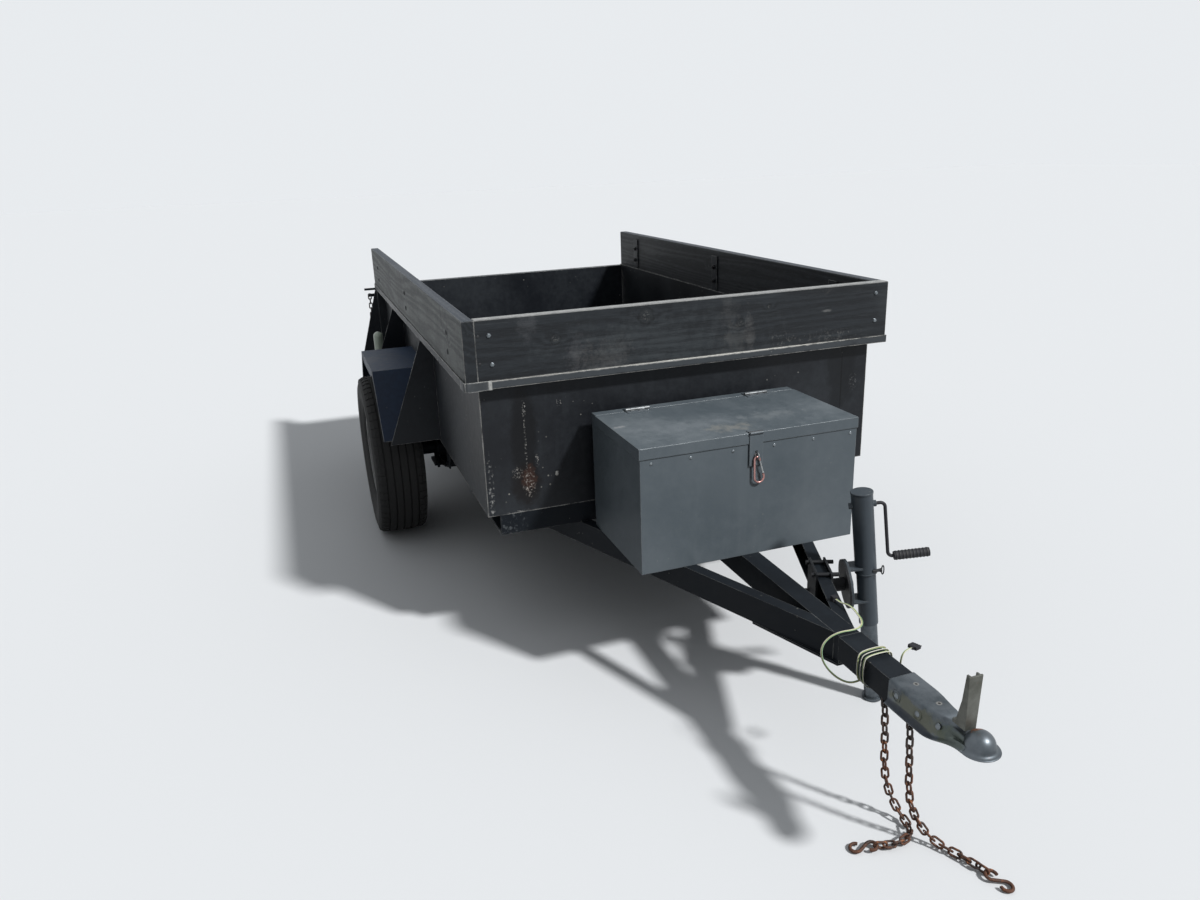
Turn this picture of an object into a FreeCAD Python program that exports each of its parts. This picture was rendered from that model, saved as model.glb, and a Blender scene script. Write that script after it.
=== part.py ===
import FreeCAD, Part
import Sketcher
import math
import os
import re

from FreeCAD import Placement, Rotation, Vector

# A single-axle utility trailer with a steel tub, wooden top boards and a toolbox on an A-frame tongue.
# Millimetres. X points forward to the coupler, Y to the trailer's left, Z up; the ground is Z = 0.
# Distances named "back" are measured rearward from the front board's outer face, "reach" forward from it.

SIZES = {
    # Tub and its frame
    "bed_long": 2438.0,
    "tail_reach": 22.0,
    "nose_long": 520.0,
    "wall_half": 688.0,
    "flange_wide": 47.0,
    "flange_top": 935.0,
    "flange_out": 4.0,
    "lip_tall": 24.0,
    "sheet_thick": 3.0,
    "panel_inset": 35.0,
    "rail_tall": 68.0,
    "rail_half": 650.0,
    "rail_wide": 50.0,
    "rail_wall": 5.0,
    # Top boards and their stakes
    "board_inset": 4.0,
    "board_thick": 38.0,
    "board_tall": 184.0,
    "board_chamfer": 2.5,
    "stake_wide": 50.0,
    "stake_thick": 6.0,
    "stake_rise": 158.0,
    "stake_drop": 90.0,
    # Tongue
    "tongue_top": 421.0,
    "channel_tall": 76.0,
    "channel_flange": 36.0,
    "channel_wall": 4.5,
    "diagonal_long": 1640.0,
    "tongue_angle": 21.26,
    "junction_reach": 873.0,
    "beam_half": 28.5,
    "beam_wall": 4.0,
    "beam_back": 690.0,
    "tube_side": 63.5,
    "tube_wall": 5.0,
    "tube_lap": 32.0,
    "tube_inside": 75.0,
    "plate_thick": 6.0,
    "plate_long": 265.0,
    # Coupler
    "coupler_long": 288.0,
    "coupler_sheet": 4.0,
    "coupler_skirt": 62.0,
    "taper_long": 158.0,
    "coupler_flare": 9.0,
    "ball_radius": 25.8,
    "dome_wall": 5.2,
    "dome_skirt": 42.0,
    "dome_drop": 12.0,
    "ball_drop": 11.0,
    "side_fit": 0.3,
    "latch_inset": 75.0,
    "latch_tall": 126.0,
    "latch_wide": 34.0,
    # Wheels and axle
    "axle_back": 1290.0,
    "wheel_half": 850.0,
    "tyre_radius": 344.0,
    "tyre_half": 102.5,
    "tread_half": 77.0,
    "tyre_wall": 14.0,
    "bead_radius": 190.5,
    "bead_half": 76.0,
    "rim_wall": 4.0,
    "rim_flange": 17.0,
    "well_drop": 26.0,
    "disc_seat": 12.0,
    "stud_circle": 114.3,
    "stud_bore": 7.0,
    "vent_circle": 262.0,
    "vent_bore": 15.0,
    "pilot_radius": 32.7,
    "hub_fit": 0.3,
    "hub_inner": 55.0,
    "axle_radius": 30.0,
    "spindle_radius": 20.0,
    "spindle_fit": 0.08,
    # Springs
    "spring_half": 625.0,
    "spring_wide": 45.0,
    "spring_span": 635.0,
    "spring_curve": 1100.0,
    "leaf_thick": 7.0,
    "seat_tall": 6.0,
    "seat_fit": 0.5,
    "eye_radius": 17.0,
    "eye_pin": 8.0,
    "eye_fit": 0.08,
    "hanger_plate": 6.0,
    "shackle_lean": 26.0,
    "shackle_rise": 28.0,
    "ubolt_radius": 6.0,
    "clamp_plate": 10.0,
    "clamp_long": 110.0,
    "clamp_wide": 96.0,
    # Fenders and gussets
    "fender_top": 761.0,
    "fender_half": 217.0,
    "fender_foot": 413.0,
    "fender_low": 520.0,
    "fender_edge": 910.0,
    "fender_lip": 38.0,
    "gusset_low": 503.0,
    "gusset_reach": 886.0,
    "tail_gusset_reach": 850.0,
    "post_inset": 7.0,
    # Lamps
    "marker_back": 1790.0,
    "marker_half": 805.0,
    "marker_radius": 22.0,
    "marker_low": 690.0,
    "marker_tall": 100.0,
    "tail_lamp_low": 560.0,
    "tail_lamp_tall": 80.0,
    "tail_lamp_wide": 100.0,
    "tail_lamp_half": 752.0,
    # Tailgate
    "gate_deep": 40.0,
    "gate_gap": 5.5,
    "gate_bar": 30.0,
    "gate_axis_back": 9.0,
    "gate_knuckle": 8.0,
    "gate_pin": 5.0,
    "gate_knuckle_long": 45.0,
    "pin_fit": 0.08,
    "rod_radius": 6.0,
    "rod_gap": 1.0,
    "rod_past": 55.0,
    "rod_drop": 30.0,
    "hook_inset": 6.0,
    "chain_eye": 4.0,
    "eye_at": 12.6,
    "eye_past": 30.0,
    "tab_half": 8.0,
    "chain_drop": 32.0,
    # Toolbox
    "box_back": 7.0,
    "box_deep": 399.0,
    "box_half": 350.0,
    "lid_top": 799.0,
    "lid_lip": 32.0,
    "box_sheet": 2.0,
    "lid_fit": 1.0,
    "rim_gap": 0.3,
    "strip_deep": 35.0,
    "lid_axis_reach": 43.5,
    "lid_axis_rise": 5.0,
    "lid_knuckle": 4.5,
    "lid_pin": 2.0,
    "hinge_half": 208.0,
    "hinge_long": 80.0,
    "leaf_deep": 20.0,
    "hasp_side": 9.5,
    "hasp_wide": 43.0,
    "hasp_low": 700.0,
    "staple_rise": 731.0,
    "staple_loop": 9.5,
    "staple_wire": 2.5,
    "ring_wire": 3.0,
    "ring_tall": 78.0,
    # Jack; heights named "rise" and "drop" are measured along its tube from the swivel
    "jack_ahead": 179.03,
    "jack_offset": 114.0,
    "jack_lean": 6.1,
    "swivel_height": 372.0,
    "swivel_disc": 70.0,
    "swivel_thick": 6.0,
    "swivel_pin": 12.0,
    "swivel_gap": 0.4,
    "swivel_at": 57.0,
    "stub_radius": 19.0,
    "mount_half": 55.0,
    "mount_bolt": 6.0,
    "jack_radius": 27.0,
    "jack_sleeve": 30.0,
    "jack_drop": 131.0,
    "jack_shoulder": 33.0,
    "jack_rise": 276.0,
    "arm_spread": 55.0,
    "leg_radius": 23.6,
    "leg_wall": 3.0,
    "leg_fit": 0.4,
    "leg_drop": 20.0,
    "foot_radius": 30.0,
    "foot_thick": 8.0,
    "crank_rise": 237.0,
    "crank_drop": 166.0,
    "crank_wire": 4.8,
    "grip_radius": 12.5,
    "grip_long": 98.0,
    # Chains and wiring
    "link_pitch": 24.7,
    "link_slack": 3.0,
    "slack_below": 90.0,
    "link_hole": 25.0,
    "link_gap": 10.6,
    "link_wire": 5.6,
    "lug_inset": 18.0,
    "lug_long": 128.0,
    "lug_drop": 38.0,
    "lug_thick": 8.0,
    "cable_radius": 3.0,
}

DOC = FreeCAD.newDocument("Trailer")
SHEET = DOC.addObject("Spreadsheet::Sheet", "Sizes")
NODES = []

TONGUE = "(junction_reach + nose_long)"
FRONT = f"((bed_long + tail_reach - {TONGUE}) / 2)"
REAR = f"({FRONT} - bed_long)"
AXLE = f"({FRONT} - axle_back)"
FRAME_TOP = "(tongue_top + rail_tall)"
FLOOR_TOP = f"({FRAME_TOP} + sheet_thick)"
TUBE_HALF = "(tube_side / 2)"
CHANNEL_LOW = "(tongue_top - channel_tall)"
PANEL_BACK = f"({FRONT} - panel_inset - sheet_thick)"
WALL_INNER = "(wall_half - sheet_thick)"
FLANGE_HALF = "(wall_half + flange_wide)"
LIP_INNER = f"({FLANGE_HALF} - sheet_thick)"
BOARD_HALF = f"({FLANGE_HALF} - board_inset)"
POST_HALF = f"({FLANGE_HALF} - post_inset)"
ROD_HALF = f"({FLANGE_HALF} + rod_past)"
CHAIN_HALF = f"({FLANGE_HALF} + eye_past)"
TUBE_START = "(junction_reach + tube_lap)"
COUPLER_START = f"({TONGUE} - coupler_long)"
TAPER_START = f"({TONGUE} - taper_long)"
TUBE_END = f"({COUPLER_START} + tube_inside)"
PLATE_START = f"({TUBE_START} - plate_long)"
LUG_START = f"({TUBE_END} - lug_inset - lug_long)"
BALL_REACH = f"({FRONT} + {TONGUE} - dome_skirt)"
BALL_RISE = "(tongue_top - ball_drop)"


def fill_sheet():
    """Each size gets a row: its name, its value and the alias that the model reads."""
    for row, (alias, value) in enumerate(SIZES.items(), start=1):
        SHEET.set(f"A{row}", alias)
        SHEET.set(f"B{row}", str(value))
        SHEET.setAlias(f"B{row}", alias)
    DOC.recompute()


def number(expression):
    """The value of an expression of the sheet's names."""
    return float(SHEET.evalExpression(str(expression)))


def link(expression):
    """The same expression as another object of the document has to write it."""
    return re.sub(r"[a-z_]\w*", lambda m: f"Sizes.{m.group(0)}" if m.group(0) in SIZES else m.group(0),
                  str(expression))


def bind(thing, **properties):
    """Ties properties to expressions; an underscore in a name stands for a dot."""
    for name, expression in properties.items():
        thing.setExpression(name.replace("_", "."), link(expression))


def place(thing, at, turn=None):
    """Ties a piece's place to the sheet; turn is a fixed Rotation."""
    if turn is not None:
        thing.Placement = Placement(Vector(), turn)
    bind(thing, Placement_Base_x=at[0], Placement_Base_y=at[1], Placement_Base_z=at[2])
    return thing


def sketch_outline(body, name, plane, outline, rounds=()):
    """A closed outline of (u, v) expressions, with round holes of (u, v, radius), on a plane of the body."""
    planes = {feature.Role: feature for feature in body.Origin.OriginFeatures}
    sketch = body.newObject("Sketcher::SketchObject", name)
    sketch.AttachmentSupport = (planes[f"{plane}_Plane"], [""])
    sketch.MapMode = "FlatFace"
    corners = [Vector(number(u), number(v), 0) for u, v in outline]
    count = len(corners)
    for index, corner in enumerate(corners):
        sketch.addGeometry(Part.LineSegment(corner, corners[(index + 1) % count]))
    for index in range(count):
        sketch.addConstraint(Sketcher.Constraint("Coincident", index, 2, (index + 1) % count, 1))
    for index, (u, v) in enumerate(outline):
        pin_point(sketch, index, 1, u, v)
    for index, (u, v, radius) in enumerate(rounds, start=count):
        centre = Vector(number(u), number(v), 0)
        sketch.addGeometry(Part.Circle(centre, Vector(0, 0, 1), number(radius)))
        pin_point(sketch, index, 3, u, v)
        row = sketch.addConstraint(Sketcher.Constraint("Radius", index, number(radius)))
        sketch.setExpression(f"Constraints[{row}]", link(radius))
    return sketch


def pin_point(sketch, geometry, point, u, v):
    """Holds one point of a sketch at its two expressions, measured from the sketch's origin."""
    for kind, expression in (("DistanceX", u), ("DistanceY", v)):
        row = sketch.addConstraint(Sketcher.Constraint(kind, -1, 1, geometry, point, number(expression)))
        sketch.setExpression(f"Constraints[{row}]", link(expression))


def prism(name, plane, outline, depth, at=(0, 0, 0), rounds=(), symmetric=False, turn=None):
    """An outline padded toward the positive side of its plane's normal axis, or to both sides."""
    body = DOC.addObject("PartDesign::Body", name)
    sketch = sketch_outline(body, f"{name}_outline", plane, outline, rounds)
    pad = body.newObject("PartDesign::Pad", f"{name}_pad")
    pad.Profile = sketch
    pad.Midplane = symmetric
    pad.Reversed = plane == "XZ" and not symmetric
    bind(pad, Length=depth)
    return place(body, at, turn)


def turned(name, outline, at=(0, 0, 0), turn=None):
    """An outline of (axial, radial) expressions revolved about the Y axis."""
    body = DOC.addObject("PartDesign::Body", name)
    sketch = sketch_outline(body, f"{name}_outline", "YZ", outline)
    revolution = body.newObject("PartDesign::Revolution", f"{name}_revolution")
    revolution.Profile = sketch
    revolution.ReferenceAxis = (sketch, ["H_Axis"])
    revolution.Angle = 360
    return place(body, at, turn)


def block(name, size, at, turn=None):
    """A box of three size expressions with its lowest corner at a place."""
    solid = DOC.addObject("Part::Box", name)
    bind(solid, Length=size[0], Width=size[1], Height=size[2])
    return place(solid, at, turn)


def drum(name, radius, length, at, axis="Z"):
    """A cylinder along a positive axis, starting at a place."""
    turns = {"X": Rotation(Vector(0, 1, 0), 90), "Y": Rotation(Vector(1, 0, 0), -90), "Z": Rotation()}
    solid = DOC.addObject("Part::Cylinder", name)
    bind(solid, Radius=radius, Height=length)
    return place(solid, at, turns[axis])


def joined(name, pieces):
    """One solid of several pieces."""
    fusion = DOC.addObject("Part::MultiFuse", name)
    fusion.Shapes = pieces
    fusion.Refine = True
    return fusion


def cut(name, base, tool):
    """A piece less another."""
    result = DOC.addObject("Part::Cut", name)
    result.Base = base
    result.Tool = tool
    return result


def group(name, pieces):
    """Separate solids that share a node."""
    compound = DOC.addObject("Part::Compound", name)
    compound.Links = pieces
    return compound


def other_side(piece):
    """The piece's mirror image across the trailer's middle."""
    mirror = DOC.addObject("Part::Mirroring", f"{piece.Name}_mirror")
    mirror.Source = piece
    mirror.Normal = Vector(0, 1, 0)
    return mirror


def shaped(name, shape, placement=None):
    """A piece whose shape comes from curves that no sketch or primitive makes."""
    feature = DOC.addObject("Part::Feature", name)
    feature.Shape = shape
    if placement is not None:
        feature.Placement = placement
    return feature


def node(label, piece):
    """Names a finished sub-part, which is written to a file of that name."""
    piece.Label = label
    NODES.append(piece)
    return piece


def both_sides(label, piece):
    """A node of a piece and its mirror image."""
    return node(label, group(f"{label}_pair", [piece, other_side(piece)]))


def rod(points, radius, bends=None):
    """A round bar or cord: straight runs joined by tangent arcs, each as large as its runs allow."""
    corners = [Vector(*point) for point in points]
    edges = []
    start = corners[0]
    smallest = float("inf")
    for index in range(1, len(corners) - 1):
        before, corner, after = corners[index - 1:index + 2]
        inward = (before - corner).normalize()
        outward = (after - corner).normalize()
        half_turn = (math.pi - inward.getAngle(outward)) / 2
        shorter = min((before - corner).Length, (after - corner).Length)
        bend = bends or 0.45 * shorter / math.tan(half_turn)
        smallest = min(smallest, bend)
        setback = bend * math.tan(half_turn)
        first = corner + inward * setback
        last = corner + outward * setback
        middle = corner + (inward + outward).normalize() * (bend / math.cos(half_turn) - bend)
        edges.append(Part.LineSegment(start, first).toShape())
        edges.append(Part.Arc(first, middle, last).toShape())
        start = last
    edges.append(Part.LineSegment(start, corners[-1]).toShape())
    path = Part.Wire(edges)
    direction = corners[1] - corners[0]
    section = Part.Wire([Part.Circle(corners[0], direction, radius).toShape()])
    solid = path.makePipeShell([section], True, False)
    print(f"rod of {path.Length:.0f}, radius {radius:g}, smallest bend {smallest:.1f}, volume ratio "
          f"{solid.Volume / (math.pi * radius ** 2 * path.Length):.4f}")
    return solid


def build_tub():
    """Floor, walls with their folded flange, and the front panel."""
    inside_long = f"(bed_long - panel_inset - sheet_thick)"
    node("floor_sheet", block("Floor", (inside_long, f"2 * {WALL_INNER}", "sheet_thick"),
                              (REAR, f"-{WALL_INNER}", FRAME_TOP)))
    wall = [(WALL_INNER, FRAME_TOP), ("wall_half", FRAME_TOP), ("wall_half", "flange_top - sheet_thick"),
            (LIP_INNER, "flange_top - sheet_thick"), (LIP_INNER, "flange_top - lip_tall"),
            (FLANGE_HALF, "flange_top - lip_tall"), (FLANGE_HALF, "flange_top"), (WALL_INNER, "flange_top")]
    both_sides("side_walls", prism("SideWall", "YZ", wall, inside_long, (REAR, 0, 0)))
    ledge = "(panel_inset + sheet_thick + flange_out)"
    lip_at = "(flange_top - lip_tall)"
    end_lip = block("FrontEndLip", (ledge, "sheet_thick", "lip_tall"), (PANEL_BACK, LIP_INNER, lip_at))
    node("front_panel", joined("FrontPanel", [
        block("FrontSheet", ("sheet_thick", "2 * wall_half", f"flange_top - {FRAME_TOP}"),
              (PANEL_BACK, "-wall_half", FRAME_TOP)),
        block("FrontLedge", (ledge, f"2 * {FLANGE_HALF}", "sheet_thick"),
              (PANEL_BACK, f"-{FLANGE_HALF}", "flange_top - sheet_thick")),
        block("FrontLip", ("sheet_thick", f"2 * {FLANGE_HALF}", "lip_tall"),
              (f"{FRONT} + flange_out - sheet_thick", f"-{FLANGE_HALF}", lip_at)),
        end_lip, other_side(end_lip)]))


def board(name, long, thick, at):
    """A planed board with eased long edges."""
    body = DOC.addObject("PartDesign::Body", name)
    sketch = sketch_outline(body, f"{name}_outline", "XY", [(0, 0), (long, 0), (long, thick), (0, thick)])
    pad = body.newObject("PartDesign::Pad", f"{name}_pad")
    pad.Profile = sketch
    bind(pad, Length="board_tall")
    DOC.recompute()
    edges = [f"Edge{index}" for index, edge in enumerate(pad.Shape.Edges, start=1)
             if abs(edge.CenterOfMass.z - number("board_tall")) < 0.1]
    ease = body.newObject("PartDesign::Chamfer", f"{name}_ease")
    ease.Base = (pad, edges)
    bind(ease, Size="board_chamfer")
    return place(body, at)


def build_boards():
    """Three planks on the flange, with the steel stakes that hold them."""
    inner = f"({BOARD_HALF} - board_thick)"
    node("front_board", board("FrontBoard", "board_thick", f"{BOARD_HALF} + {inner}",
                              (f"{FRONT} - board_thick", f"-{inner}", "flange_top")))
    right = board("RightBoard", "bed_long", "board_thick", (REAR, f"-{BOARD_HALF}", "flange_top"))
    left = board("LeftBoard", "bed_long - board_thick", "board_thick", (REAR, inner, "flange_top"))
    node("side_boards", group("SideBoards", [right, left]))
    stakes = []
    for name, back in (("FrontStake", 262), ("MiddleStake", "bed_long / 2 - 4"), ("RearStake", "bed_long - 248")):
        stake = block(name, ("stake_wide", "stake_thick", "stake_rise"),
                      (f"{FRONT} - ({back}) - stake_wide / 2", f"{inner} - stake_thick", "flange_top"))
        stakes += [stake, other_side(stake)]
    corner = block("CornerStake", ("stake_thick", "stake_wide", "stake_rise + stake_drop"),
                   (f"{PANEL_BACK} - stake_thick", f"{inner} - 3 * stake_wide / 2", "flange_top - stake_drop"))
    node("board_stakes", group("Stakes", stakes + [corner, other_side(corner)]))


def channel(width, tall, wall, low):
    """A C section with its web on the zero line and its flanges to positive u."""
    top = f"({low} + {tall})"
    return [(0, low), (width, low), (width, f"{low} + {wall}"), (wall, f"{low} + {wall}"),
            (wall, f"{top} - {wall}"), (width, f"{top} - {wall}"), (width, top), (0, top)]


def build_frame():
    """Side rails and cross members under the floor."""
    web = "(rail_half - rail_wide)"
    section = channel("rail_wide", "rail_tall", "rail_wall", "tongue_top")
    rail_long = "(bed_long - panel_inset - 2 * rail_wide)"
    both_sides("side_rails", prism("SideRail", "YZ", section, rail_long, (f"{REAR} + rail_wide", web, 0)))
    members = []
    # Columns: name, back of its web, half width, 1 where the flanges point forward
    for name, back, half, forward in (("FrontMember", "panel_inset", "rail_half", 0),
                                      ("FootMember", "beam_back", web, 1),
                                      ("FirstMember", "axle_back - 160", web, 0),
                                      ("SecondMember", "axle_back + 317", web, 0),
                                      ("ThirdMember", "bed_long - 408", web, 0),
                                      ("RearMember", "bed_long", "wall_half", 1)):
        outline = section if forward else [(f"-({u})", v) for u, v in section]
        members.append(prism(name, "XZ", outline, f"2 * {half}", (f"{FRONT} - ({back})", 0, 0), symmetric=True))
    node("cross_members", group("CrossMembers", members))


def build_tongue():
    """Two channels that meet a middle beam, with the square tube that carries the coupler."""
    section = [(f"-({u})", v) for u, v in channel("channel_flange", "channel_tall", "channel_wall", CHANNEL_LOW)]
    lean = Rotation(Vector(0, 0, -1), SIZES["tongue_angle"])
    diagonal = prism("Diagonal", "YZ", section, "diagonal_long + tube_side",
                     (f"{FRONT} + junction_reach - diagonal_long * cos(tongue_angle)",
                      f"{TUBE_HALF} + diagonal_long * sin(tongue_angle)", 0), turn=lean)
    bind(diagonal, Placement_Rotation_Angle="tongue_angle")
    core = block("BeamSpace", (f"{TONGUE} + bed_long", "2 * beam_half", "2 * tongue_top"),
                 (REAR, "-beam_half", 0))
    far = block("BeyondSpace", (TONGUE, "2 * tube_side", "2 * tongue_top"),
                (f"{FRONT} + {TUBE_START}", "-tube_side * 3 / 2", 0))
    both_sides("tongue_diagonals", cut("DiagonalCut", diagonal, joined("MiddleSpace", [core, far])))
    hollow = "(beam_half - beam_wall)"
    beam_long = f"({TUBE_START} + beam_back)"
    node("tongue_beam", cut("Beam",
         block("BeamOutside", (beam_long, "2 * beam_half", "channel_tall"),
               (f"{FRONT} - beam_back", "-beam_half", CHANNEL_LOW)),
         block("BeamInside", (beam_long, f"2 * {hollow}", "channel_tall - 2 * beam_wall"),
               (f"{FRONT} - beam_back", f"-{hollow}", f"{CHANNEL_LOW} + beam_wall"))))
    inside = "(tube_side - 2 * tube_wall)"
    tube_long = f"({TUBE_END} - {TUBE_START})"
    node("tongue_tube", cut("TongueTube",
         block("TubeOutside", (tube_long, "tube_side", "tube_side"),
               (f"{FRONT} + {TUBE_START}", f"-{TUBE_HALF}", "tongue_top - tube_side")),
         block("TubeInside", (tube_long, inside, inside),
               (f"{FRONT} + {TUBE_START}", f"-{inside} / 2", "tongue_top - tube_side + tube_wall"))))
    back_half = f"({TUBE_HALF} + (junction_reach - {PLATE_START}) * tan(tongue_angle))"
    node("junction_plate", prism("JunctionPlate", "XY", [
        (PLATE_START, f"-{back_half}"), (TUBE_START, f"-{TUBE_HALF}"), (TUBE_START, TUBE_HALF),
        (PLATE_START, back_half)], "plate_thick", (FRONT, 0, f"{CHANNEL_LOW} - plate_thick")))


def build_coupler():
    """A pressed coupler: folded channel over the tube, ball dome with a skirt, flared lower edges."""
    outer = f"({TUBE_HALF} + side_fit + coupler_sheet)"
    top = "(tongue_top + coupler_sheet)"
    low = f"({top} - coupler_skirt)"
    rim = f"({BALL_RISE} - dome_drop)"
    reach = f"({TONGUE} - dome_skirt)"
    side = [(COUPLER_START, low), (TAPER_START, low), (reach, rim), (reach, BALL_RISE),
            (f"{reach} - dome_skirt / 2", top), (COUPLER_START, top)]
    inner = [(f"{COUPLER_START} - 1", f"{low} - 1"), (f"{reach} - dome_skirt", f"{low} - 1"),
             (f"{reach} - dome_skirt", "tongue_top"), (f"{COUPLER_START} - 1", "tongue_top")]
    ball = (BALL_REACH, 0, BALL_RISE)
    dome = DOC.addObject("Part::Sphere", "Dome")
    bind(dome, Radius="ball_radius + dome_wall")
    place(dome, ball)
    seat = DOC.addObject("Part::Sphere", "BallSeat")
    bind(seat, Radius="ball_radius")
    place(seat, ball)
    skirt = DOC.addObject("Part::Cone", "DomeSkirt")
    bind(skirt, Radius1="dome_skirt", Radius2="ball_radius + dome_wall", Height="dome_drop * 3 / 2")
    place(skirt, (BALL_REACH, 0, rim))
    flare = block("Flare", (f"{TAPER_START} - {COUPLER_START}", "coupler_flare", "coupler_sheet"),
                  (f"{FRONT} + {COUPLER_START}", f"{outer} - 1", low))
    shell = joined("CouplerOutside", [
        prism("CouplerSide", "XZ", side, f"2 * {outer}", (FRONT, 0, 0), symmetric=True), dome, skirt, flare,
        other_side(flare)])
    space = joined("CouplerInside", [
        prism("CouplerHollow", "XZ", inner, f"2 * ({outer} - coupler_sheet)", (FRONT, 0, 0), symmetric=True),
        seat, drum("BallMouth", "ball_radius", "2 * coupler_skirt",
                   (BALL_REACH, 0, f"{BALL_RISE} - 2 * coupler_skirt"))])
    node("coupler", cut("Coupler", shell, space))
    latch_at = f"({FRONT} + {TONGUE} - latch_inset)"
    latch_deep = "(latch_wide * 4 / 5)"
    grip = prism("LatchGrip", "YZ", [
        ("-latch_wide * 2 / 5", top), ("latch_wide * 2 / 5", top), ("latch_wide / 2", f"{top} + latch_tall"),
        ("-latch_wide / 2", f"{top} + latch_tall")], "coupler_sheet", (f"{latch_at}", 0, 0))
    fold = prism("LatchFold", "XZ", [
        (f"-{latch_deep}", top), (0, top), (0, f"{top} + latch_tall"), ("-coupler_sheet * 2", f"{top} + latch_tall"),
        (f"-{latch_deep} / 2", f"{top} + latch_tall / 2")], "coupler_sheet", (latch_at, "-latch_wide * 2 / 5", 0))
    base = block("LatchBase", ("latch_wide", "latch_wide * 4 / 5", "2 * coupler_sheet"),
                 (f"{latch_at} - latch_wide", "-latch_wide * 2 / 5", top))
    node("coupler_latch", joined("CouplerLatch", [grip, fold, other_side(fold), base]))


def build_fenders():
    """Folded fenders on each side, the transverse gussets that carry the flange, and the lamps."""
    slope = "((fender_top - fender_low) / (fender_foot - fender_half))"
    fold = f"(sheet_thick * (sqrt(1 + {slope}^2) - 1) / {slope})"
    foot = f"(fender_foot - sheet_thick * sqrt(1 + {slope}^2) / {slope})"
    skin = [("-fender_foot", "fender_low"), ("-fender_half", "fender_top"), ("fender_half", "fender_top"),
            ("fender_foot", "fender_low"), (foot, "fender_low"), (f"fender_half - {fold}", "fender_top - sheet_thick"),
            (f"{fold} - fender_half", "fender_top - sheet_thick"), (f"-{foot}", "fender_low")]
    edge = [("-fender_foot", "fender_low"), ("-fender_half", "fender_top"), ("fender_half", "fender_top"),
            ("fender_foot", "fender_low"), ("fender_foot - fender_lip / 2", "fender_low"),
            ("fender_half - fender_lip / 4", "fender_top - fender_lip / 2"),
            ("fender_half - 2 * fender_lip", "fender_top - fender_lip"),
            ("2 * fender_lip - fender_half", "fender_top - fender_lip"),
            ("fender_lip / 4 - fender_half", "fender_top - fender_lip / 2"),
            ("fender_lip / 2 - fender_foot", "fender_low")]
    both_sides("fenders", joined("Fender", [
        prism("FenderSkin", "XZ", skin, "fender_edge - wall_half", (AXLE, "wall_half", 0)),
        prism("FenderEdge", "XZ", edge, "sheet_thick", (AXLE, "fender_edge - sheet_thick", 0))]))
    plates = []
    # Columns: name, place of its rear face, where it starts, how far its foot reaches out
    for name, at, start, reach in (("FrontGusset", f"{AXLE} + fender_foot", "wall_half", "gusset_reach"),
                                   ("RearGusset", f"{AXLE} - fender_foot - sheet_thick", "wall_half", "gusset_reach"),
                                   ("TailGusset", REAR, POST_HALF, "tail_gusset_reach")):
        outline = [(start, "gusset_low"), (reach, "gusset_low"), (LIP_INNER, "flange_top - lip_tall"),
                   (LIP_INNER, "flange_top - sheet_thick"), (start, "flange_top - sheet_thick")]
        plate = prism(name, "YZ", outline, "sheet_thick", (at, 0, 0))
        plates += [plate, other_side(plate)]
    node("gussets", group("Gussets", plates))
    both_sides("rear_posts", block("RearPost", ("gate_deep", f"{POST_HALF} - wall_half",
                                                "flange_top - sheet_thick - tongue_top"),
                                   (REAR, "wall_half", "tongue_top")))
    bracket = block("LampBracket", ("3 * marker_radius", "marker_half + marker_radius - wall_half", "sheet_thick * 2"),
                    (f"{FRONT} - marker_back - 3 * marker_radius / 2", "wall_half", "marker_low - sheet_thick * 2"))
    both_sides("lamp_brackets", bracket)
    crown = DOC.addObject("Part::Sphere", "LampCrown")
    bind(crown, Radius="marker_radius")
    place(crown, (f"{FRONT} - marker_back", "marker_half", "marker_low + marker_tall - marker_radius"))
    stem = drum("LampStem", "marker_radius", "marker_tall - marker_radius",
                (f"{FRONT} - marker_back", "marker_half", "marker_low"))
    both_sides("marker_lamps", joined("MarkerLamp", [stem, crown]))
    both_sides("tail_lamps", block("TailLamp", ("tail_reach", "tail_lamp_wide", "tail_lamp_tall"),
                                   (f"{REAR} - tail_reach", "tail_lamp_half - tail_lamp_wide / 2", "tail_lamp_low")))


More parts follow.
